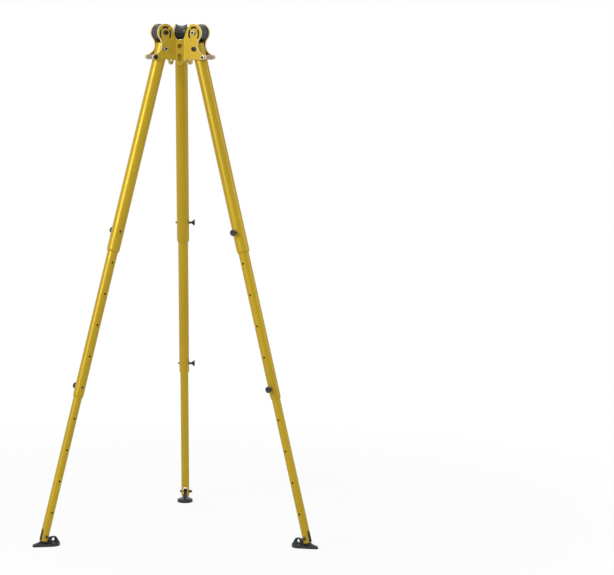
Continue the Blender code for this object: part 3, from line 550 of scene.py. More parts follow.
def half_skin(radius, facing, rows, holes, edges, spokes=None, columns=48, reach=6):
    """Half of a tube's skin, (r cos a, r sin a, -s), with round holes and slotted sides.

    The angle runs from one edge to the other across facing. A hole's patch is a square of the grid
    whose border is drawn in to the hole's circle along straight spokes: (1 - t) border + t circle.
    """
    step = math.pi / columns
    column = np.arange(-columns // 2, columns // 2 + 1)
    side = np.sign(column)
    share = np.clip((np.abs(column) - reach) / (columns // 2 - reach), 0.0, 1.0)
    room = math.pi / 2 - np.where(side < 0, edges[0][:, None], edges[1][:, None]) - reach * step
    off = side * (np.minimum(np.abs(column), reach) * step + share * room)
    station = rows[:, None] * np.ones(len(column))
    quads = grid_quads(len(rows), len(column)).reshape(len(rows) - 1, len(column) - 1, 4)
    keep = np.ones(quads.shape[:2], bool)
    middle = columns // 2
    surfaces = []
    rims = []
    for number, (centre, hole_radius, half_height) in enumerate(holes):
        first = int(np.argmin(np.abs(rows - (centre - half_height))))
        last = int(np.argmin(np.abs(rows - (centre + half_height))))
        keep[first:last, middle - reach:middle + reach] = False
        wide, tall = np.arange(middle - reach, middle + reach), np.arange(first, last)
        there = (
            np.r_[np.full(len(wide), first), tall, np.full(len(wide), last), tall[::-1] + 1],
            np.r_[wide, np.full(len(tall), middle + reach), wide[::-1] + 1,
                  np.full(len(tall), middle - reach)],
        )
        border = np.stack((off[there], station[there]), 1)
        if spokes is None:
            spoke = np.arctan2(border[:, 1] - centre, radius * np.sin(border[:, 0]))
        else:
            spoke = spokes[number]
        rim = np.stack((
            np.arcsin(hole_radius * np.cos(spoke) / radius), centre + hole_radius * np.sin(spoke),
        ), 1)
        draw = np.array(PATCH_RINGS)[:, None, None]
        patch = ((1 - draw) * border + draw * rim).reshape(-1, 2)
        around = grid_quads(len(PATCH_RINGS), len(border), round_columns=True)
        surfaces.append((on_tube(radius, facing + patch[:, 0], patch[:, 1]), around))
        rims.append((spoke, on_tube(radius, facing + rim[:, 0], rim[:, 1])))
    skin = on_tube(radius, facing + off.ravel(), station.ravel())
    surfaces.append((skin, quads[keep]))
    return surfaces, rims, skin.reshape(len(rows), len(column), 3)


def on_tube(radius, angle, station):
    """Points (r cos a, r sin a, -s) on a tube."""
    return np.stack((radius * np.cos(angle), radius * np.sin(angle), -station), axis=-1)


def slot_half_width(rows, top, half, crown, end):
    """Half the width of an end slot at each row: h sqrt(1 - (1 - d / c)^2) in its crown, then h."""
    share = np.clip(np.round(rows - top, 6) / crown, 0.0, 1.0)
    return half * np.sqrt(1 - (1 - share) ** 2) * (rows <= end + 1e-9)


def drilled_tube(name, outer, bore, top, end, holes, mouth=None, slots=(), edge_break=0.0005):
    """A round tube with cross holes along Y, a drawn-in mouth or slotted sides at its foot.

    The mouth's outer radius falls from R to the lip's by the quarter cosine 1 - cos(90 t).
    """
    patches = [(centre, hole / 2, hole / 2 + PATCH_MARGIN) for centre, hole in holes]
    straight_end = end - (mouth[0] if mouth else 0.0)
    stations = [np.array((top, straight_end))]
    for centre, _, half_height in patches:
        stations.append(np.linspace(centre - half_height, centre + half_height, HOLE_ROWS))
    for slot_top, _, crown in slots:
        quarter = np.linspace(0.0, math.pi / 2, CROWN_ROWS)
        stations.append(slot_top + crown * (1 - np.cos(quarter)))
    rows = np.unique(np.round(np.concatenate(stations), 8))
    openings = [
        slot_half_width(rows, slot_top, half, crown, end) for slot_top, half, crown in slots
    ]
    surfaces = []
    for facing in (math.pi / 2, 3 * math.pi / 2):
        walls = []
        for radius in (outer, bore):
            widths = openings or [np.zeros(len(rows))] * 2
            edges = [np.arcsin(np.clip(width / radius, 0.0, 1.0)) for width in widths]
            if facing > math.pi:
                edges = edges[::-1]
            spokes = [spoke for spoke, _ in walls[0][1]] if walls else None
            walls.append(half_skin(radius, facing, rows, patches, edges, spokes))
        (outside, outer_rims, outer_skin), (inside, inner_rims, inner_skin) = walls
        surfaces += outside + inside
        for (_, outer_rim), (_, inner_rim) in zip(outer_rims, inner_rims):
            surfaces.append(strip(outer_rim, inner_rim, closed=True))
        surfaces.append(strip(outer_skin[0], inner_skin[0]))
        if not mouth:
            surfaces.append(strip(outer_skin[-1], inner_skin[-1]))
        for edge_column, (slot_top, _, _) in zip((0, -1) if facing < math.pi else (-1, 0), slots):
            first = int(np.argmin(np.abs(rows - slot_top)))
            surfaces.append(strip(outer_skin[first:, edge_column], inner_skin[first:, edge_column]))
    if mouth:
        mouth_length, lip_radius, lip_wall = mouth
        share = np.linspace(0.0, 1.0, MOUTH_ROWS)
        drawn = outer - (outer - lip_radius - lip_wall) * (1 - np.cos(share * math.pi / 2))
        side = np.stack((drawn, straight_end + mouth_length * share), 1)
        lip = np.array(((lip_radius, end), (lip_radius, end - LIP_DEPTH), (bore, straight_end)))
        profile = np.concatenate((side, lip)) * (1.0, -1.0)
        surfaces.append(turned(profile))
    return smoothed(mesh_from(name, surfaces), edge_break)


def leg_tubes(legs, head, foot):
    """The three tubes of a leg, each round the next one with a drawn-in mouth.

    The upper tube has the pivot bolt's hole and one lock hole, the middle tube lock holes from the
    upper pin to the lower one, and the lower tube lock holes, the foot bolt's hole and end slots.
    """
    def lock_holes(first, count):
        spacings = range(first, first + count)
        return [(legs.upper_pin + place * legs.hole_spacing, legs.lock_hole) for place in spacings]

    def tube(stage, top, end, holes, inner=None, slots=()):
        outer = getattr(legs, stage + "_diameter") / 2
        bore = outer - getattr(legs, stage + "_wall")
        mouth = (legs.mouth_length, inner / 2 + legs.tube_gap, legs.mouth_wall) if inner else None
        return drilled_tube(
            stage + "_tube", outer, bore, top, end, holes, mouth, slots, legs.edge_break
        )

    ankle, _ = leg_reach()
    play = 2 * legs.seat_gap
    upper_holes = [(0.0, head.bolt_diameter + play)] + lock_holes(0, 1)
    lower_holes = lock_holes(legs.stage_holes, legs.travel_holes + 1)
    lower_holes.append((ankle, foot.foot_bolt + play))
    slots = (
        (ankle - legs.outer_slot, legs.outer_slot_width / 2, legs.slot_crown),
        (ankle - legs.inner_slot, legs.slot_width / 2, legs.slot_crown),
    )
    stage_holes = lock_holes(0, legs.stage_holes + 1)
    return (
        tube("upper", -legs.upper_top, legs.upper_end, upper_holes, legs.middle_diameter),
        tube("middle", legs.middle_top, legs.middle_end, stage_holes, legs.lower_diameter),
        tube("lower", legs.lower_top, legs.lower_end, lower_holes, slots=slots),
    )


def guide_sleeve(name, tube_bore, outer_bore, top):
    """Guide plugged into a sliding tube's top: a turned flange over a spigot, open through."""
    inner, spigot, flange = tube_bore - 0.0036, tube_bore - 0.0006, outer_bore - 0.0012
    seat, crown, foot = SEAT_GAP - top, 0.012 - top, -top - 0.020
    profile = rounded_path([
        (inner, crown, 0.0), (flange, crown, 0.0015), (outer_bore - 0.0008, 0.006 - top, 0.0),
        (flange, seat, 0.001), (spigot, seat, 0.0), (spigot, foot, 0.001), (inner, foot, 0.0),
    ])
    return smoothed(mesh_from(name, [turned(profile, closed=True)]))


def lock_pin(name, foot, tube):
    """Pull pin along +Y: a tapered nose past the far side, a steel shank, a neck, a flared knob."""
    seat = tube / 2 + SEAT_GAP
    shank = foot.pin_shank / 2
    nose = -tube / 2 - foot.pin_reach
    flare = seat + foot.neck_length
    face = flare + foot.knob_length
    steel = rounded_path([
        (0.0, nose, 0.0), (shank * 0.55, nose, 0.0006), (shank, nose + 0.0045, 0.001),
        (shank, seat - 0.0006, 0.0), (0.0, seat - 0.0006, 0.0),
    ])
    neck = foot.pin_neck / 2
    knob_radius = foot.knob / 2
    grip = rounded_path([
        (0.0, seat, 0.0), (neck + 0.0012, seat, 0.0004), (neck + 0.0012, seat + 0.0022, 0.0004),
        (neck, seat + 0.0030, 0.0006), (neck, flare - 0.001, 0.006),
        (knob_radius, face - 0.0042, 0.0014), (knob_radius, face - 0.0016, 0.0012),
        (knob_radius - 0.0042, face, 0.0020), (knob_radius * 0.45, face - 0.0016, 0.002),
        (0.0, face - 0.0022, 0.0),
    ], 5)
    shaft = mesh_from(name + "_shaft", [along_y(turned(steel, 48))])
    handle = mesh_from(name + "_knob", [along_y(turned(grip, 72))])
    return two_parts(name, handle, shaft)


def two_parts(name, first, second):
    """One finished mesh of two closed parts, of which the second takes the second material."""
    bm = bmesh.new()
    bm.from_mesh(first)
    count = len(bm.faces)
    bm.from_mesh(second)
    bm.faces.ensure_lookup_table()
    for face in bm.faces[count:]:
        face.material_index = 1
    mesh = bpy.data.meshes.new(name)
    bm.to_mesh(mesh)
    bm.free()
    for part in (first, second):
        bpy.data.meshes.remove(part)
    store(mesh, "place", points_of(mesh))
    return smoothed(mesh)


# Bolts and nuts


def socket_bolt(name, diameter, head, head_height, socket, socket_depth, grip, tail):
    """Socket bolt along Y: knurled rounded head past +grip / 2, threaded tail past -grip / 2."""
    seat = grip / 2 + SEAT_GAP
    crown = seat + head_height
    floor = crown - socket_depth
    corner = socket / math.sqrt(3.0)
    end = -grip / 2 - tail
    shank = diameter / 2
    root = shank - THREAD_DEPTH
    edge = head / 2
    thread_low = end + 0.0006
    thread_high = thread_low + THREAD_LENGTH
    table = np.array([
        # radius, height, share of the hexagon, share of the knurl
        (0.0, floor - 0.0012, 0, 0), (corner * 0.94, floor, 1, 0), (corner, crown - 0.0005, 1, 0),
        (corner + 0.0005, crown, 1, 0), (edge - 0.0016, crown, 0, 0),
        (edge - 0.0009, crown - 0.00025, 0, 0), (edge - 0.0003, crown - 0.0008, 0, 0),
        (edge, crown - 0.0016, 0, 1), (edge, seat + 0.0012, 0, 1),
        (edge - 0.0002, seat + 0.0004, 0, 0), (edge - 0.0006, seat, 0, 0), (shank, seat, 0, 0),
        (shank, thread_high, 0, 0), (root, thread_high, 0, 0),
    ])
    body = turned(
        table[:, :2], BOLT_COLUMNS, hexagonal=table[:, 2], knurl=table[:, 3], turn=SOCKET_TURN
    )
    thread = threaded(shank, thread_low, thread_high)
    tip = np.array(((root, thread_low), (shank - 0.0013, end), (0.0, end - 0.0001)))
    surfaces = [along_y(body), along_y(thread), along_y(turned(tip, BOLT_COLUMNS))]
    return smoothed(mesh_from(name, surfaces), sharp=32.0)


def hexagon_nut(name, width, thickness, bolt, seat):
    """Nut round Y against y = -seat: r is the lesser of a hexagon's and a 30 degree chamfer cone's.

    The cone's radius grows from 0.475 of the width at each face by 1.73 times the depth below it.
    """
    fall = NUT_CHAMFER * np.linspace(0, 1, 9)
    depth = np.concatenate((fall, thickness - fall[::-1]))
    near_face = np.minimum(depth, thickness - depth)
    angle = np.linspace(0.0, 2 * math.pi, BOLT_COLUMNS, endpoint=False)
    flats = width / math.sqrt(3.0) * flat_sides(angle, NUT_TURN)
    radius = np.minimum(flats[None, :], (0.475 * width + 1.73 * near_face)[:, None])
    hole = bolt / 2 + 0.00025
    lead = hole + 0.0007
    bore = np.array((
        (lead, thickness), (hole, thickness - 0.0007), (hole, 0.0007), (lead, 0.0),
    ))
    radius = np.concatenate((radius, bore[:, :1] * np.ones(len(angle))))
    z = np.concatenate((depth, bore[:, 1]))[:, None] - seat - SEAT_GAP - thickness
    z = z * np.ones(len(angle))
    points = np.stack((radius * np.cos(angle), radius * np.sin(angle), z), -1)
    ring = points.reshape(-1, 3), grid_quads(len(z), len(angle), True, True)
    return smoothed(mesh_from(name, [along_y(ring)]), sharp=32.0)


def sleeve(name, outer, bore, half):
    """Plain sleeve round Y with broken edges."""
    profile = rounded_path([
        (bore, -half, 0.0), (outer, -half, 0.0006), (outer, half, 0.0006), (bore, half, 0.0005),
        (bore, 0.0, 0.0),
    ])
    return smoothed(mesh_from(name, [along_y(turned(profile, closed=True))]))


# Pulleys


def rope_pulley(legs, head):
    """Pulley round Y: bored hub with a raised ring, recessed web, rounded rim, round groove."""
    half = head.pulley_half
    hub = legs.upper_diameter / 2 + head.cheek_gap - head.hub_play
    bore = head.bush_diameter / 2 + 0.0005
    rim = head.pulley_radius - 0.008
    reach = half - head.flange_land
    depth = head.groove_depth
    groove = (reach**2 + depth**2) / (2 * depth)
    opening = math.asin(reach / groove)
    floor = half - 0.004
    web, outer = head.hub_radius, head.pulley_radius
    side = rounded_path([
        (bore, 0.0, 0.0), (bore, hub, 0.0005), (bore + 0.0028, hub, 0.0004),
        (bore + 0.0030, hub - 0.0006, 0.0002), (bore + 0.0040, hub - 0.0006, 0.0002),
        (bore + 0.0042, hub, 0.0004), (web, hub, 0.0008), (web, floor, 0.0016),
        (rim - 0.004, floor, 0.0020), (rim, half, 0.0012), (outer, half, 0.0014),
        (outer, reach, 0.0010), (outer - 0.0022, reach - 0.0016, 0.0),
    ])
    angles = np.linspace(opening * 0.86, -opening * 0.86, 33)
    centre = outer - depth + groove
    bottom = np.stack((centre - groove * np.cos(angles), groove * np.sin(angles)), 1)
    other = side[::-1] * (1.0, -1.0)
    profile = np.concatenate((side, bottom, other[:-1]))
    surface = along_y(turned(profile, 144, closed=True))
    return smoothed(mesh_from("pulley", [surface]), sharp=75.0)


# Head plates


def angle_to(start, end):
    """Direction from one point to another."""
    return math.atan2(end[1] - start[1], end[0] - start[0])


def circle_meeting(first, first_reach, second, second_reach):
    """The point at two given distances from two centres, on the left of the way between them."""
    span = math.dist(first, second)
    along = (first_reach**2 - second_reach**2 + span**2) / (2 * span)
    across = math.sqrt(first_reach**2 - along**2)
    ux, uz = (second[0] - first[0]) / span, (second[1] - first[1]) / span
    return (first[0] + along * ux - across * uz, first[1] + along * uz + across * ux)


class PlateLayout:
    """Where a head plate's bends and holes lie on its flat blank, worked out from the sizes."""

    def __init__(self, legs, head):
        _, pivot_radius = head_axis()
        _, lean = leg_reach()
        self.mid_bend = head.bend_radius + head.plate_thickness / 2
        self.flat = head.centre_flat / 2
        self.bend_arc = self.mid_bend * WING
        tangent = self.mid_bend * math.tan(WING / 2)
        cheek = legs.upper_diameter / 2 + head.cheek_gap + head.plate_thickness / 2
        corner = self.flat + tangent
        self.middle = (cheek + corner * math.sin(WING)) / math.cos(WING)
        corner_radius = self.middle * math.sin(WING) + corner * math.cos(WING)
        self.offset = self.flat + self.bend_arc - tangent - corner_radius
        stop_out = legs.upper_diameter / 2 + legs.seat_gap + head.stop_diameter / 2
        self.stop_radius = (
            pivot_radius + head.stop_station * math.sin(lean) + stop_out * math.cos(lean)
        )
        self.stop_height = -head.stop_station * math.cos(lean) + stop_out * math.sin(lean)
        self.ear = (pivot_radius - head.pulley_inset + self.offset, head.pulley_rise)
        self.pivot = (pivot_radius + self.offset, 0.0)
        self.lobe = (self.stop_radius + self.offset, self.stop_height)


def plate_outline(head, layout):
    """Outline of the flat blank: tangent arcs round tab, lobe, waist, ear and valley, mirrored."""
    tab = (0.0, head.tab_bottom + head.tab_radius)
    ear, lobe = layout.ear, layout.lobe
    valley = (0.0, head.valley_bottom + head.valley_radius)
    level = lobe[1] - head.lobe_radius - head.tab_fillet
    out = math.sqrt((head.tab_radius + head.tab_fillet) ** 2 - (level - tab[1]) ** 2)
    fillet = (out, level)
    neck = circle_meeting(
        ear, head.ear_radius + head.neck_radius, lobe, head.lobe_radius + head.neck_radius
    )
    turn = math.acos((head.ear_radius + head.valley_radius) / math.dist(valley, ear))
    valley_end = angle_to(valley, ear) - turn
    half = np.concatenate((
        arc(tab, head.tab_radius, -math.pi / 2, angle_to(tab, fillet), 14),
        arc(fillet, head.tab_fillet, angle_to(fillet, tab), math.pi / 2, 10),
        arc(lobe, head.lobe_radius, -math.pi / 2, angle_to(lobe, neck), 20),
        arc(neck, head.neck_radius, angle_to(neck, lobe) + 2 * math.pi, angle_to(neck, ear), 16),
        arc(ear, head.ear_radius, angle_to(ear, neck), valley_end + math.pi, 56),
        arc(valley, head.valley_radius, valley_end, -math.pi / 2, 16),
    ))
    outline = np.concatenate((half[:-1], (half * (-1.0, 1.0))[::-1][:-1]))
    step = np.linalg.norm(outline - np.roll(outline, 1, axis=0), axis=1)
    return outline[step > 1e-5]


def arc_slot(centre, radius, width, start, end):
    """Curved slot with round ends: two arcs round a centre joined by half circles."""
    half = width / 2
    start, end = math.radians(start), math.radians(end)
    near, far = arc(centre, radius, start, end, 1)
    return np.concatenate((
        arc(centre, radius + half, start, end, 20), arc(far, half, end, end + math.pi, 10)[1:-1],
        arc(centre, radius - half, end, start, 20),
        arc(near, half, start + math.pi, start + 2 * math.pi, 10)[1:-1],
    ))


def plate_loops(legs, head, layout):
    """Outline and holes of the flat blank."""
    half = head.anchor_width / 2
    anchor = np.concatenate((
        arc((0.0, head.anchor_top - half), half, 0.0, math.pi, 24),
        arc((0.0, head.anchor_bottom + half), half, math.pi, 2 * math.pi, 24),
    ))
    bolt_hole = head.bolt_diameter / 2 + legs.seat_gap
    round_hole = circle((0.0, head.round_height), head.round_hole / 2, 56)
    loops = [plate_outline(head, layout), anchor, round_hole]
    wings = [circle(place, bolt_hole, 40) for place in (layout.ear, layout.pivot, layout.lobe)]
    wings.append(arc_slot(layout.ear, head.arc_radius, head.arc_width, *TOP_SLOT))
    for side, start, end in SIDE_SLOTS:
        centre = (layout.ear[0] - side * head.side_offset, layout.ear[1] - head.side_drop)
        wings.append(arc_slot(centre, head.side_radius, head.arc_width, start, end))
    return loops + wings + [loop * (-1.0, 1.0) for loop in wings]


def flat_blank(name, loops, thickness, rounding):
    """A closed flat blank with holes and rounded edges: a filled flat curve, made a mesh."""
    curve = bpy.data.curves.new(name, "CURVE")
    curve.dimensions = "2D"
    curve.fill_mode = "BOTH"
    curve.extrude = thickness / 2 - rounding
    curve.bevel_depth = rounding
    curve.bevel_resolution = 2
    curve.offset = -rounding
    for loop in loops:
        spline = curve.splines.new("POLY")
        spline.points.add(len(loop) - 1)
        flat = np.column_stack((loop, np.zeros(len(loop)), np.ones(len(loop))))
        spline.points.foreach_set("co", flat.ravel())
        spline.use_cyclic_u = True
    mesh = evaluated(linked(name, curve))
    bpy.data.curves.remove(curve)
    return mesh


def head_plate(legs, head):
    """Head plate: a flat blank cut at many lines across its bends and folded round their axes.

    Past the middle flat a point follows the bend's arc up to 30 degrees and then a straight wing.
    """
    layout = PlateLayout(legs, head)
    loops = plate_loops(legs, head, layout)
    mesh = flat_blank("head_plate", loops, head.plate_thickness, head.plate_edge)
    bm = bmesh.new()
    bm.from_mesh(mesh)
    bmesh.ops.remove_doubles(bm, verts=bm.verts[:], dist=1e-5)
    for line in layout.flat + layout.bend_arc * np.linspace(0.0, 1.0, 9):
        for side in (-1, 1):
            bmesh.ops.bisect_plane(
                bm, geom=bm.verts[:] + bm.edges[:] + bm.faces[:], dist=1e-6,
                plane_co=(side * line, 0.0, 0.0), plane_no=(1.0, 0.0, 0.0),
            )
    bm.to_mesh(mesh)
    bm.free()
    mesh = welded(mesh)
    across, high, depth = points_of(mesh).T
    past = np.maximum(np.abs(across) - layout.flat, 0.0)
    angle = np.minimum(past / layout.mid_bend, WING)
    straight = np.maximum(past - layout.bend_arc, 0.0)
    out = layout.middle + layout.mid_bend * (1 - np.cos(angle)) + straight * np.sin(angle)
    aside = np.minimum(np.abs(across), layout.flat) + layout.mid_bend * np.sin(angle)
    aside = aside + straight * np.cos(angle) - depth * np.sin(angle)
    folded = np.stack((out + depth * np.cos(angle), np.sign(across) * aside, high), 1)
    mesh.vertices.foreach_set("co", folded.ravel())
    store(mesh, "place", np.stack((across, depth, high), 1))
    # Mask of the cut edges: the plate coat paints them pale cream, partly as bare metal and partly
    # as a painted highlight.
    store(mesh, "rim", np.abs(depth) < head.plate_thickness / 2 - 0.25 * head.plate_edge)
    return smoothed(mesh, sharp=48.0)


# Shoes


def sole_height(foot, along, toe_height, heel_height):
    """Height at places on the sole: toe height + (heel - toe height) (x - toe) / (heel - toe)."""
    toe, heel = foot.toe_centre + foot.toe_radius, foot.heel_centre - foot.heel_radius
    share = (along - toe) / (heel - toe)
    return toe_height + (heel_height - toe_height) * share - foot.bolt_above_floor


def sole_surface(foot):
    """Sole: rings of one outline, a broad heel and a narrow toe joined by tangents, drawn in."""
    def outline(shrink):
        heel, toe = foot.heel_radius - shrink, foot.toe_radius - shrink
        tangent = math.acos((heel - toe) / (foot.toe_centre - foot.heel_centre))
        return np.concatenate((
            arc((foot.toe_centre, 0.0), toe, -tangent, tangent, 16),
            arc((foot.heel_centre, 0.0), heel, tangent, 2 * math.pi - tangent, 48),
        ))
    levels = (
        (0.0008, 0.0, 0.0), (0.0, 0.0008, 0.0008), (0.0, foot.toe_edge, foot.heel_edge),
        (foot.sole_slope, foot.toe_thickness, foot.heel_thickness),
    )
    rings = []
    for shrink, toe_height, heel_height in levels:
        ring = outline(shrink)
        height_there = sole_height(foot, ring[:, 0], toe_height, heel_height)
        rings.append(np.column_stack((ring, height_there)))
    rings.insert(0, rings[0] * (1.0, 0.0, 1.0))
    rings.append(rings[-1] * (1.0, 0.0, 1.0))
    points = np.concatenate(rings)
    return points, grid_quads(len(rings), len(rings[0]), round_columns=True)


def web_outline(foot):
    """Side view of the web: bolt eye, lashing loop's arm over the heel, ridge to the toe."""
    heel = foot.heel_centre - foot.heel_radius + foot.sole_slope + 0.002
    toe = foot.toe_centre + foot.toe_radius / 2
    ridge = 0.026
    base = foot.toe_edge / 2 - foot.bolt_above_floor
    toe_deck, ridge_deck, heel_deck = (
        sole_height(foot, place, foot.toe_thickness, foot.heel_thickness)
        for place in (toe, ridge, heel)
    )
    eye = foot.eye_radius
    loop = foot.loop_centre
    corners = [
        (0.0, base, 0.0), (toe, base, 0.0), (toe, toe_deck + 0.001, 0.0015),
        (ridge, ridge_deck + 0.007, 0.009), (eye, -eye, 0.006), (eye, eye, eye * 0.98),
        (-eye, eye, eye * 0.98), (-eye, -0.0085, 0.005), (loop, -0.0040, 0.008),
        (loop - 0.012, -0.0055, 0.009), (heel, heel_deck + 0.001, 0.002), (heel, base, 0.0),
        (0.0, base, 0.0),
    ]
    return rounded_path(corners, 6)[:-1]


def lashing_eye_outline(foot):
    """Side view of the lashing eye: a rounded triangle inside the loop."""
    front, back = foot.loop_centre + 0.0150, foot.loop_centre - 0.0075
    low, high = -0.0260, -0.0105
    middle = ((front + back) / 2, low, 0.0)
    corners = [
        middle, (back, low, 0.0040), (back + 0.003, high, 0.0036), (back + 0.0115, high, 0.0036),
        (front, low, 0.0040), middle,
    ]
    return rounded_path(corners, 5)[:-1]


def slab(name, outline, half, bulge=0.0):
    """Prism over an outline in the X-Z plane; a bulge makes its ends grow from its middle."""
    middle = outline.mean(axis=0)
    rings = []
    for depth, grow in ((-half, bulge), (-half * 0.45, 0.0), (half * 0.45, 0.0), (half, bulge)):
        ring = middle + (outline - middle) * (1 + grow)
        rings.append(np.column_stack((ring[:, 0], np.full(len(ring), depth), ring[:, 1])))
    bm = bmesh.new()
    loops = [[bm.verts.new(point) for point in ring.tolist()] for ring in rings]
    for near, far in zip(loops, loops[1:]):
        for index in range(len(near)):
            bm.faces.new((near[index - 1], near[index], far[index], far[index - 1]))
    bm.faces.new(loops[0])
    bm.faces.new(loops[-1][::-1])
    bmesh.ops.recalc_face_normals(bm, faces=bm.faces[:])
    mesh = bpy.data.meshes.new(name)
    bm.to_mesh(mesh)
    bm.free()
    return mesh


def boolean(body, tools):
    """The body joined with or cut by other meshes, each given with its operation."""
    item = linked("boolean_body", body)
    others = [linked("boolean_tool", tool) for tool, _ in tools]
    for other, (_, operation) in zip(others, tools):
        modify(item, "BOOLEAN", operation=operation, solver="EXACT", object=other)
    return evaluated(item, *others)


def cast_shoe(foot):
    """Shoe: sole and web joined, pierced, cast anew from small cells, softened like a casting."""
    sole = mesh_from("sole", [sole_surface(foot)])
    web_width = foot.web_thickness
    web = slab("web", web_outline(foot), web_width / 2)
    hole = slab("bolt_hole", circle((0.0, 0.0), foot.foot_bolt / 2 + 0.0006, 32), web_width)
    eye = slab("lashing_eye", lashing_eye_outline(foot), web_width * 0.62, 0.5)
    solid = boolean(sole, [(web, "UNION"), (hole, "DIFFERENCE"), (eye, "DIFFERENCE")])
    item = linked("shoe", solid)
    modify(item, "REMESH", mode="VOXEL", voxel_size=foot.grain)
    modify(item, "SMOOTH", factor=0.5, iterations=7)
    mesh = evaluated(item)
    points = points_of(mesh)
    floor = -foot.bolt_above_floor
    points[:, 2] = np.where(points[:, 2] < floor + FLAT_SOLE, floor, points[:, 2])
    mesh.vertices.foreach_set("co", points.ravel())
    mesh.shade_smooth()
    store(mesh, "place", points_of(mesh))
    return mesh


# Materials


class Nodes:
    """Adds nodes to a tree; a socket is given a value or another node's output."""

    def __init__(self, tree):
        self.tree = tree

    def add(self, kind, inputs=(), **settings):
        """Add a node of a kind with its settings, and fill its sockets."""
        made = self.tree.nodes.new(kind)
        for name, value in settings.items():
            setattr(made, name, value)
        for socket, value in dict(inputs).items():
            self.fill(made.inputs[socket], value)
        return made

    def fill(self, socket, value):
        """Give a socket a value or a link; a colour's opacity is added."""
        if isinstance(value, bpy.types.NodeSocket):
            self.tree.links.new(value, socket)
        elif isinstance(value, tuple) and socket.type == "RGBA":
            socket.default_value = (*value[:3], 1.0)
        else:
            socket.default_value = value

    def sum(self, operation, first, second=0.0, clamp=False):
        """Result of one sum on one or two values."""
        inputs = {0: first, 1: second}
        return self.add("ShaderNodeMath", inputs, operation=operation, use_clamp=clamp).outputs[0]

    def ramp(self, value, low, high, bottom=0.0, top=1.0):
        """A value carried smoothly from one range to another."""
        inputs = {"Value": value, "From Min": low, "From Max": high}
        inputs.update({"To Min": bottom, "To Max": top})
        made = self.add("ShaderNodeMapRange", inputs, interpolation_type="SMOOTHSTEP")
        return made.outputs["Result"]

    def shown(self):
        """Output that is 1 for rays from the camera and for those that mirrors send on."""
        path = self.add("ShaderNodeLightPath").outputs
        seen = self.sum("MAXIMUM", path["Is Camera Ray"], path["Is Glossy Ray"])
        return self.sum("MAXIMUM", seen, path["Is Transmission Ray"])


class Finish(Nodes):
    """A material whose patterns lie on the piece's own coordinates."""

    def __init__(self, name):
        self.material = bpy.data.materials.new(name)
        self.material.use_nodes = True
        super().__init__(self.material.node_tree)
        self.place = self.attribute("place", "Vector")
        self.batch = self.attribute("batch")

    def attribute(self, name, output="Fac"):
        """A number or a point kept on the mesh."""
        return self.add("ShaderNodeAttribute", attribute_name=name).outputs[output]

    def axes(self):
        """The three coordinates, each on its own."""
        return self.add("ShaderNodeSeparateXYZ", {0: self.place}).outputs

    def grain(self, scale, detail=3.0, rough=0.55, vector=None, shift=0.0):
        """Noise on the piece's own coordinates, different for every batch."""
        w = self.sum("MULTIPLY_ADD", self.batch, 3.7)
        w.node.inputs[2].default_value = shift
        inputs = {"Vector": vector or self.place, "W": w, "Scale": scale}
        inputs.update({"Detail": detail, "Roughness": rough})
        return self.add("ShaderNodeTexNoise", inputs, noise_dimensions="4D").outputs["Fac"]

    def mix(self, share, first, second):
        """Two colours mixed by a share."""
        inputs = {"Factor": share, 6: first, 7: second}
        return self.add("ShaderNodeMix", inputs, data_type="RGBA").outputs[2]

    def tones(self, share, base, dark, light):
        """A colour that goes from darker to lighter by a share."""
        return self.mix(share, shaded(base, dark), shaded(base, light))

    def bump(self, height_value, strength, distance, normal=None):
        """A bumped normal."""
        inputs = {"Height": height_value, "Strength": strength, "Distance": distance}
        if normal is not None:
            inputs["Normal"] = normal
        return self.add("ShaderNodeBump", inputs).outputs["Normal"]

    def set(self, tone, rough, normal, **sockets):
        """Fill the shader's sockets."""
        shader = self.tree.nodes["Principled BSDF"]
        sockets.update(Base_Color=tone, Roughness=rough, Normal=normal)
        for name, value in sockets.items():
            self.fill(shader.inputs[name.replace("_", " ")], value)


def shaded(base, factor):
    """A colour darkened or lightened by a factor, held below one."""
    return tuple(min(channel * factor, 1.0) for channel in base)


def coat_finish(name, base, rubbed=False, cut=False):
    """Satin yellow coat: clouds, fine lines, rub marks on a sliding tube, and on cut edges a pale
    cream that is partly bare metal and partly a painted highlight.
    """
    finish = Finish(name)
    red, green, blue = base
    tone = finish.tones(finish.ramp(finish.grain(2.6, 2.0), 0.3, 0.7), base, 0.93, 1.05)
    specks = finish.ramp(finish.grain(160.0, 2.0, shift=4.0), 0.42, 0.72, 0.0, 0.35)
    tone = finish.mix(specks, tone, (red * 0.86, green * 0.84, blue * 1.15))
    rough = finish.ramp(finish.grain(22.0, 4.0, shift=9.0), 0.25, 0.75, 0.33, 0.45)
    drawn = {"Vector": finish.place, "Scale": (420.0, 420.0, 5.0)}
    drawn = finish.add("ShaderNodeMapping", drawn).outputs[0]
    lines = finish.grain(1.0, 4.0, 0.7, drawn, 2.0)
    if rubbed:
        marks = finish.ramp(lines, 0.56, 0.74, 0.0, 0.55)
        tone = finish.mix(marks, tone, (red * 1.12 + 0.02, green * 1.14 + 0.02, blue + 0.06))
        rough = finish.sum("SUBTRACT", rough, finish.ramp(lines, 0.5, 0.8, 0.0, 0.12), True)
    if cut:
        # Pale cream on the plates' cut edges: partly bare metal, partly a painted highlight like
        # the light those edges catch.
        bare_and_highlight = finish.ramp(finish.grain(95.0, 4.0, 0.65, shift=12.0), 0.20, 0.48, 0.55, 1.0)
        rim = finish.sum("MULTIPLY", finish.attribute("rim"), bare_and_highlight, True)
        tone = finish.mix(rim, tone, (0.80, 0.69, 0.36))
    normal = finish.bump(finish.grain(620.0, 2.0, 0.5, shift=6.0), 0.10, 0.0004)
    normal = finish.bump(lines, 0.05, 0.0003, normal)
    finish.set(tone, rough, normal, Metallic=0.42, Specular_IOR_Level=0.45)


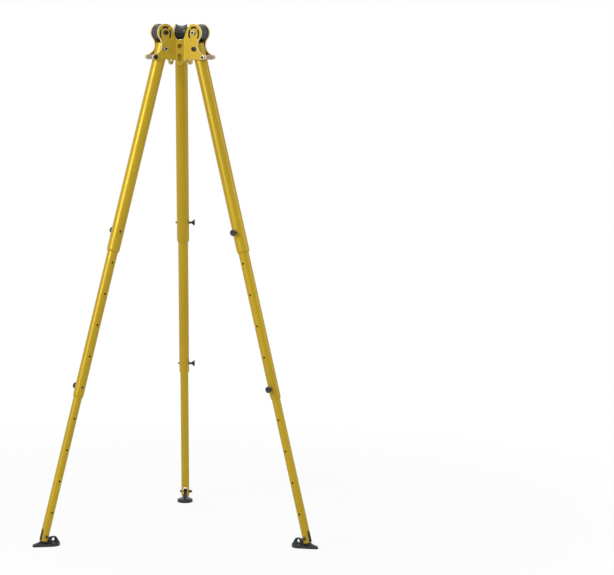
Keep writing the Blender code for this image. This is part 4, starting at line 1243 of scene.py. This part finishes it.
def nylon_finish(name, base):
    """Dark moulded nylon: faint turning rings, mottling and a burnished rope groove."""
    finish = Finish(name)
    x, y, z = finish.axes()
    squares = finish.sum("ADD", finish.sum("POWER", x, 2.0), finish.sum("POWER", z, 2.0))
    radius = finish.sum("SQRT", squares)
    mottle = finish.ramp(finish.grain(90.0, 4.0), 0.3, 0.7)
    middle = finish.ramp(finish.sum("ABSOLUTE", y), 0.022, 0.010)
    burnish = finish.sum("MULTIPLY", finish.ramp(radius, 0.031, 0.036), middle)
    tone = finish.mix(burnish, finish.tones(mottle, base, 0.82, 1.25), shaded(base, 1.9))
    polish = finish.sum("MULTIPLY", burnish, 0.10)
    rough = finish.sum("SUBTRACT", finish.ramp(mottle, 0.0, 1.0, 0.42, 0.56), polish)
    normal = finish.bump(finish.sum("SINE", finish.sum("MULTIPLY", y, 5200.0)), 0.05, 0.0001)
    normal = finish.bump(finish.grain(700.0, 2.0, shift=3.0), 0.10, 0.0003, normal)
    finish.set(tone, rough, normal)


def turned_metal_finish(name, base, low, high):
    """Turned or plated metal: cloudy tone, fine turning lines along Y and uneven polish."""
    finish = Finish(name)
    tone = finish.tones(finish.ramp(finish.grain(130.0, 4.0), 0.3, 0.7), base, 0.80, 1.08)
    spots = finish.ramp(finish.grain(520.0, 3.0, 0.6, shift=5.0), 0.62, 0.74, 0.0, 0.5)
    tone = finish.mix(spots, tone, shaded(base, 0.55))
    lines = finish.sum("SINE", finish.sum("MULTIPLY", finish.axes()[1], 9000.0))
    rough = finish.ramp(finish.grain(240.0, 3.0, shift=8.0), 0.25, 0.75, low, high)
    finish.set(tone, rough, finish.bump(lines, 0.06, 0.0001), Metallic=0.92)


def black_steel_finish(name, base):
    """Blackened steel: oily black with patches of brown-grey rub."""
    finish = Finish(name)
    red, green, blue = base
    rub = finish.ramp(finish.grain(340.0, 5.0, 0.65), 0.56, 0.72, 0.0, 0.6)
    tone = finish.mix(rub, base, (red * 3.4 + 0.02, green * 3.2 + 0.018, blue * 3.0 + 0.015))
    rough = finish.ramp(finish.grain(210.0, 3.0, shift=3.0), 0.25, 0.75, 0.30, 0.48)
    normal = finish.bump(finish.grain(900.0, 2.0, shift=7.0), 0.12, 0.0002)
    finish.set(tone, rough, normal, Metallic=0.55)


def knob_finish(name, base):
    """Moulded knob: close leathery texture, unevenly rough."""
    finish = Finish(name)
    mottle = finish.ramp(finish.grain(260.0, 4.0), 0.3, 0.7)
    inputs = {"Vector": finish.place, "Scale": 1100.0}
    cells = finish.add("ShaderNodeTexVoronoi", inputs, feature="SMOOTH_F1").outputs["Distance"]
    tone = finish.tones(mottle, base, 0.8, 1.5)
    finish.set(tone, finish.ramp(mottle, 0.0, 1.0, 0.38, 0.52), finish.bump(cells, 0.12, 0.0003))


def casting_finish(name, base):
    """Dark coated casting: sand-cast skin, paler low down where it has rubbed."""
    finish = Finish(name)
    skin = finish.grain(300.0, 5.0, 0.62)
    clouds = finish.ramp(finish.grain(38.0, 3.0, shift=2.0), 0.3, 0.72)
    low = finish.ramp(finish.axes()[2], -0.034, -0.044)
    scuff = finish.ramp(finish.grain(120.0, 5.0, 0.7, shift=5.0), 0.5, 0.66)
    scuff = finish.sum("MULTIPLY", finish.sum("MULTIPLY", low, scuff), 0.55)
    tone = finish.mix(scuff, finish.tones(clouds, base, 0.75, 1.35), (0.17, 0.165, 0.16))
    normal = finish.bump(skin, 0.24, 0.0005)
    normal = finish.bump(finish.grain(46.0, 2.0, shift=8.0), 0.18, 0.0015, normal)
    finish.set(tone, finish.ramp(skin, 0.3, 0.7, 0.28, 0.44), normal, Specular_IOR_Level=0.35)


FINISHES = {
    "tube_coat": (coat_finish, "coat"),
    "sliding_coat": (coat_finish, "coat", True),
    "plate_coat": (coat_finish, "plate_coat", False, True),
    "pulley_nylon": (nylon_finish, "nylon"),
    "bush_bronze": (turned_metal_finish, "bronze", 0.24, 0.40),
    "bolt_black": (black_steel_finish, "black"),
    "nut_zinc": (turned_metal_finish, "zinc", 0.20, 0.36),
    "sleeve_zinc": (turned_metal_finish, "sleeve", 0.18, 0.30),
    "bolt_browned": (black_steel_finish, "foot_bolt"),
    "pin_steel": (turned_metal_finish, "pin", 0.18, 0.32),
    "knob_black": (knob_finish, "knob"),
    "shoe_casting": (casting_finish, "casting"),
}


def finish_named(name):
    """The material of a finish, made the first time that a piece asks for it."""
    if name not in bpy.data.materials:
        maker, tint, *settings = FINISHES[name]
        maker(name, tuple(getattr(bpy.context.scene.tripod_finishes, tint)), *settings)
    return bpy.data.materials[name]


# Operators


class TRIPOD_OT_tubes(bpy.types.Operator):
    """Make the three drilled tubes of every leg and the guides inside them"""
    bl_idname = "tripod.tubes"
    bl_label = "Leg tubes"

    def execute(self, context):
        scene = context.scene
        legs = scene.tripod_legs
        upper, middle, lower = leg_tubes(legs, scene.tripod_head, scene.tripod_foot)
        bores = [
            getattr(legs, stage + "_diameter") / 2 - getattr(legs, stage + "_wall")
            for stage in ("upper", "middle", "lower")
        ]
        middle_guide = guide_sleeve("middle_guide", bores[1], bores[0], legs.middle_top)
        lower_guide = guide_sleeve("lower_guide", bores[2], bores[1], legs.lower_top)
        coat, sliding, nylon = ["tube_coat"], ["sliding_coat"], ["pulley_nylon"]
        add_on_legs(leg_frame, (
            ("upper_tube", upper, UNMOVED, "upper", "yellow_coat", coat, 0),
            ("middle_tube", middle, UNMOVED, "middle", "yellow_coat", sliding, 3),
            ("lower_tube", lower, UNMOVED, "lower", "yellow_coat", sliding, 6),
            ("middle_guide", middle_guide, UNMOVED, "middle", "dark_nylon", nylon, 0),
            ("lower_guide", lower_guide, UNMOVED, "lower", "dark_nylon", nylon, 0),
        ))
        return {"FINISHED"}


class TRIPOD_OT_lock_pins(bpy.types.Operator):
    """Make the pull-out lock pins with their flared knobs"""
    bl_idname = "tripod.lock_pins"
    bl_label = "Lock pins"

    def execute(self, context):
        scene = context.scene
        legs, foot = scene.tripod_legs, scene.tripod_foot
        lower_station = legs.upper_pin + legs.stage_holes * legs.hole_spacing
        rows = []
        for kind, tube, station in (
            ("upper", legs.upper_diameter, legs.upper_pin),
            ("lower", legs.middle_diameter, lower_station),
        ):
            place = Matrix.Translation((0.0, 0.0, -station)) @ HALF_TURN
            pin = lock_pin(kind + "_pin", foot, tube)
            surfaces = ["knob_black", "pin_steel"]
            rows.append((kind + "_lock_pin", pin, place, kind + "_pin", "black_steel", surfaces, 0))
        add_on_legs(leg_frame, rows)
        return {"FINISHED"}


class TRIPOD_OT_head_plates(bpy.types.Operator):
    """Make the three bent head plates"""
    bl_idname = "tripod.head_plates"
    bl_label = "Head plates"

    def execute(self, context):
        mesh = head_plate(context.scene.tripod_legs, context.scene.tripod_head)
        for batch, plate in enumerate(PLATES, 11):
            node, place = "head_plate_" + plate, plate_frame(plate)
            add_piece(node, mesh, place, "head", ["plate_coat"], batch)
        return {"FINISHED"}


class TRIPOD_OT_pulleys(bpy.types.Operator):
    """Make the rope pulleys and the bushes on which they turn"""
    bl_idname = "tripod.pulleys"
    bl_label = "Pulleys"

    def execute(self, context):
        legs, head = context.scene.tripod_legs, context.scene.tripod_head
        between = legs.upper_diameter / 2 + head.cheek_gap - legs.seat_gap
        bore = head.bolt_diameter / 2 + legs.seat_gap
        bush = sleeve("bush", head.bush_diameter / 2, bore, between)
        pulley, axle = rope_pulley(legs, head), axle_place(head)
        add_on_legs(head_frame, (
            ("pulley", pulley, axle, "pulley", "dark_nylon", ["pulley_nylon"], 0),
            ("pulley_bush", bush, axle, "head", "bronze", ["bush_bronze"], 0),
        ))
        return {"FINISHED"}


class TRIPOD_OT_head_bolts(bpy.types.Operator):
    """Make the head's axle, pivot and stop bolts, their nuts and the stop sleeves"""
    bl_idname = "tripod.head_bolts"
    bl_label = "Head bolts"

    def execute(self, context):
        legs, head = context.scene.tripod_legs, context.scene.tripod_head
        cheek = legs.upper_diameter / 2 + head.cheek_gap + head.plate_thickness
        bolt = socket_bolt(
            "head_bolt", head.bolt_diameter, head.bolt_head, head.bolt_head_height,
            head.socket_width, HEAD_SOCKET_DEPTH, 2 * cheek, head.nut_height + head.bolt_tail,
        )
        nut = hexagon_nut("head_nut", head.nut_width, head.nut_height, head.bolt_diameter, cheek)
        between = cheek - head.plate_thickness - legs.seat_gap
        bore = head.bolt_diameter / 2 + legs.seat_gap
        spacer = sleeve("spacer", head.stop_diameter / 2, bore, between)
        layout = PlateLayout(legs, head)
        stop = layout.stop_radius - head_axis()[1], 0.0, layout.stop_height
        places = {"axle": axle_place(head), "pivot": HALF_TURN, "stop": Matrix.Translation(stop)}
        for number, leg in enumerate(LEGS):
            for kind, local in places.items():
                batch = number + 5 * len(kind)
                twist = Matrix.Rotation(0.7 * number + len(kind), 4, "Y")
                place = head_frame(leg) @ local @ twist
                node = f"{kind}_bolt_{leg}"
                add_piece(node, bolt, place, "head", ["bolt_black"], batch)
                node = f"{kind}_nut_{leg}"
                add_piece(node, nut, place, "head", ["nut_zinc"], batch)
            node, place = "stop_spacer_" + leg, head_frame(leg) @ places["stop"]
            add_piece(node, spacer, place, "head", ["sleeve_zinc"], number)
        return {"FINISHED"}


class TRIPOD_OT_shoes(bpy.types.Operator):
    """Make the cast shoes with their bolts and nuts"""
    bl_idname = "tripod.shoes"
    bl_label = "Shoes"

    def execute(self, context):
        legs, foot = context.scene.tripod_legs, context.scene.tripod_foot
        tube, nut_height, width = legs.lower_diameter, foot.foot_nut_height, foot.foot_nut
        bolt = socket_bolt(
            "foot_bolt", foot.foot_bolt, foot.foot_head, foot.foot_head_height, foot.foot_socket,
            FOOT_SOCKET_DEPTH, tube, nut_height + foot.foot_tail,
        )
        nut = hexagon_nut("foot_nut", width, nut_height, foot.foot_bolt, tube / 2)
        browned = ["bolt_browned"]
        add_on_legs(foot_frame, (
            ("foot", cast_shoe(foot), UNMOVED, "foot", "cast_shoe", ["shoe_casting"], 0),
            ("foot_bolt", bolt, UNMOVED, "lower", "black_steel", browned, 0),
            ("foot_nut", nut, UNMOVED, "lower", "black_steel", browned, 4),
        ))
        return {"FINISHED"}


class TRIPOD_OT_stage(bpy.types.Operator):
    """Make the pale floor, the soft lamps and the camera"""
    bl_idname = "tripod.stage"
    bl_label = "Stage"

    def execute(self, context):
        scene = context.scene
        stage = scene.tripod_stage
        make_floor(tuple(stage.floor), stage.pool)
        make_sky(scene, stage.sky_level)
        add_lamp("key_lamp", (-3.5, -3.7, 3.6), (1.7, 2.8), stage.key_power)
        add_lamp("fill_lamp", (4.9, -0.9, 3.0), (2.2, 2.6), stage.fill_power)
        add_lamp("top_lamp", (-0.4, 0.6, 5.4), (1.6, 1.6), stage.top_power)
        make_camera(scene, stage)
        scene.view_settings.view_transform = "Standard"
        return {"FINISHED"}


def make_floor(tint, pool):
    """A wide level floor that shows its shadows round the tripod and turns white farther out."""
    mesh = bpy.data.meshes.new("floor")
    corners = np.array(((-1, -1, 0), (1, -1, 0), (1, 1, 0), (-1, 1, 0))) * FLOOR_REACH
    mesh.from_pydata(corners.tolist(), [], [(0, 1, 2, 3)])
    material = bpy.data.materials.new("floor_paper")
    material.use_nodes = True
    nodes = Nodes(material.node_tree)
    nodes.tree.nodes.clear()
    paper = nodes.add("ShaderNodeBsdfDiffuse", {"Color": tint}).outputs[0]
    glow = nodes.add("ShaderNodeEmission", {"Color": WHITE, "Strength": 1.0}).outputs[0]
    place = nodes.add("ShaderNodeTexCoord").outputs["Object"]
    reach = nodes.add("ShaderNodeVectorMath", {0: place}, operation="LENGTH").outputs["Value"]
    lift = nodes.ramp(reach, pool, 3.2 * pool, 0.88, 1.0)
    share = nodes.sum("MULTIPLY", nodes.shown(), lift)
    blend = nodes.add("ShaderNodeMixShader", {0: share, 1: paper, 2: glow}).outputs[0]
    nodes.add("ShaderNodeOutputMaterial", {0: blend})
    mesh.materials.append(material)
    linked("floor", mesh)


def make_sky(scene, level):
    """An even sky that lights at one level and shows white to the camera and in mirrors."""
    scene.world = bpy.data.worlds.new("studio")
    scene.world.use_nodes = True
    nodes = Nodes(scene.world.node_tree)
    inputs = {"Value": nodes.shown(), "To Min": level, "To Max": 1.0}
    strength = nodes.add("ShaderNodeMapRange", inputs).outputs["Result"]
    back = nodes.tree.nodes["Background"].inputs
    nodes.fill(back["Color"], WHITE)
    nodes.fill(back["Strength"], strength)


def add_lamp(name, place, size, power):
    """A soft panel lamp that faces the middle of the tripod."""
    data = bpy.data.lights.new(name, "AREA")
    data.shape = "RECTANGLE"
    data.size, data.size_y = size
    data.energy = power
    lamp = linked(name, data)
    lamp.location = place
    aim = LAMP_TARGET - lamp.location
    lamp.rotation_euler = aim.to_track_quat("-Z", "Y").to_euler()


def make_camera(scene, stage):
    """Camera on a bearing round the head's axis, turned, tilted and rolled as in the picture."""
    axis, _ = head_axis()
    bearing = math.radians(stage.bearing)
    heading = math.radians(stage.heading) - bearing
    pitch, roll = math.radians(stage.pitch), math.radians(stage.roll)
    level = Vector((math.sin(heading), math.cos(heading), 0.0))
    ahead = level * math.cos(pitch) - Vector((0.0, 0.0, math.sin(pitch)))
    right = Vector((level.y, -level.x, 0.0))
    up = right.cross(ahead)
    across = right * math.cos(roll) + up * math.sin(roll)
    upward = up * math.cos(roll) - right * math.sin(roll)
    matrix = Matrix((across, upward, -ahead)).transposed().to_4x4()
    matrix.translation = (
        axis.x + stage.distance * math.sin(bearing), axis.y - stage.distance * math.cos(bearing),
        stage.eye_height,
    )
    data = bpy.data.cameras.new("camera")
    data.sensor_width = 36.0
    data.lens = stage.lens
    data.clip_end = 1000.0
    scene.camera = linked("camera", data)
    scene.camera.matrix_world = matrix


class TRIPOD_PT_pieces(bpy.types.Panel):
    """Lists the tripod's pieces"""
    bl_label = "Lifting Tripod"
    bl_idname = "TRIPOD_PT_pieces"
    bl_space_type = "VIEW_3D"
    bl_region_type = "UI"
    bl_category = "Tripod"

    def draw(self, context):
        column = self.layout.column()
        for operator in OPERATORS:
            column.operator(operator.bl_idname)
        for group in GROUPS:
            settings = getattr(context.scene, group)
            box = self.layout.box()
            for name in settings.__annotations__:
                box.prop(settings, name)


OPERATORS = (
    TRIPOD_OT_tubes, TRIPOD_OT_lock_pins, TRIPOD_OT_head_plates, TRIPOD_OT_pulleys,
    TRIPOD_OT_head_bolts, TRIPOD_OT_shoes, TRIPOD_OT_stage,
)
GROUPS = {
    "tripod_legs": TripodLegSizes,
    "tripod_head": TripodHeadSizes,
    "tripod_foot": TripodPinAndFootSizes,
    "tripod_finishes": TripodFinishes,
    "tripod_stage": TripodStageSettings,
}


def register():
    """Register the property groups, the operators and the panel."""
    for name, group in GROUPS.items():
        bpy.utils.register_class(group)
        setattr(bpy.types.Scene, name, PointerProperty(type=group))
    for operator in OPERATORS:
        bpy.utils.register_class(operator)
    bpy.utils.register_class(TRIPOD_PT_pieces)


def unregister():
    """Take away what register added."""
    bpy.utils.unregister_class(TRIPOD_PT_pieces)
    for operator in reversed(OPERATORS):
        bpy.utils.unregister_class(operator)
    for name, group in GROUPS.items():
        delattr(bpy.types.Scene, name)
        bpy.utils.unregister_class(group)


def main():
    """Make every piece and the stage."""
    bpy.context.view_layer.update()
    register()
    bpy.ops.tripod.tubes()
    bpy.ops.tripod.lock_pins()
    bpy.ops.tripod.head_plates()
    bpy.ops.tripod.pulleys()
    bpy.ops.tripod.head_bolts()
    bpy.ops.tripod.shoes()
    bpy.ops.tripod.stage()


if __name__ == "__main__":
    main()
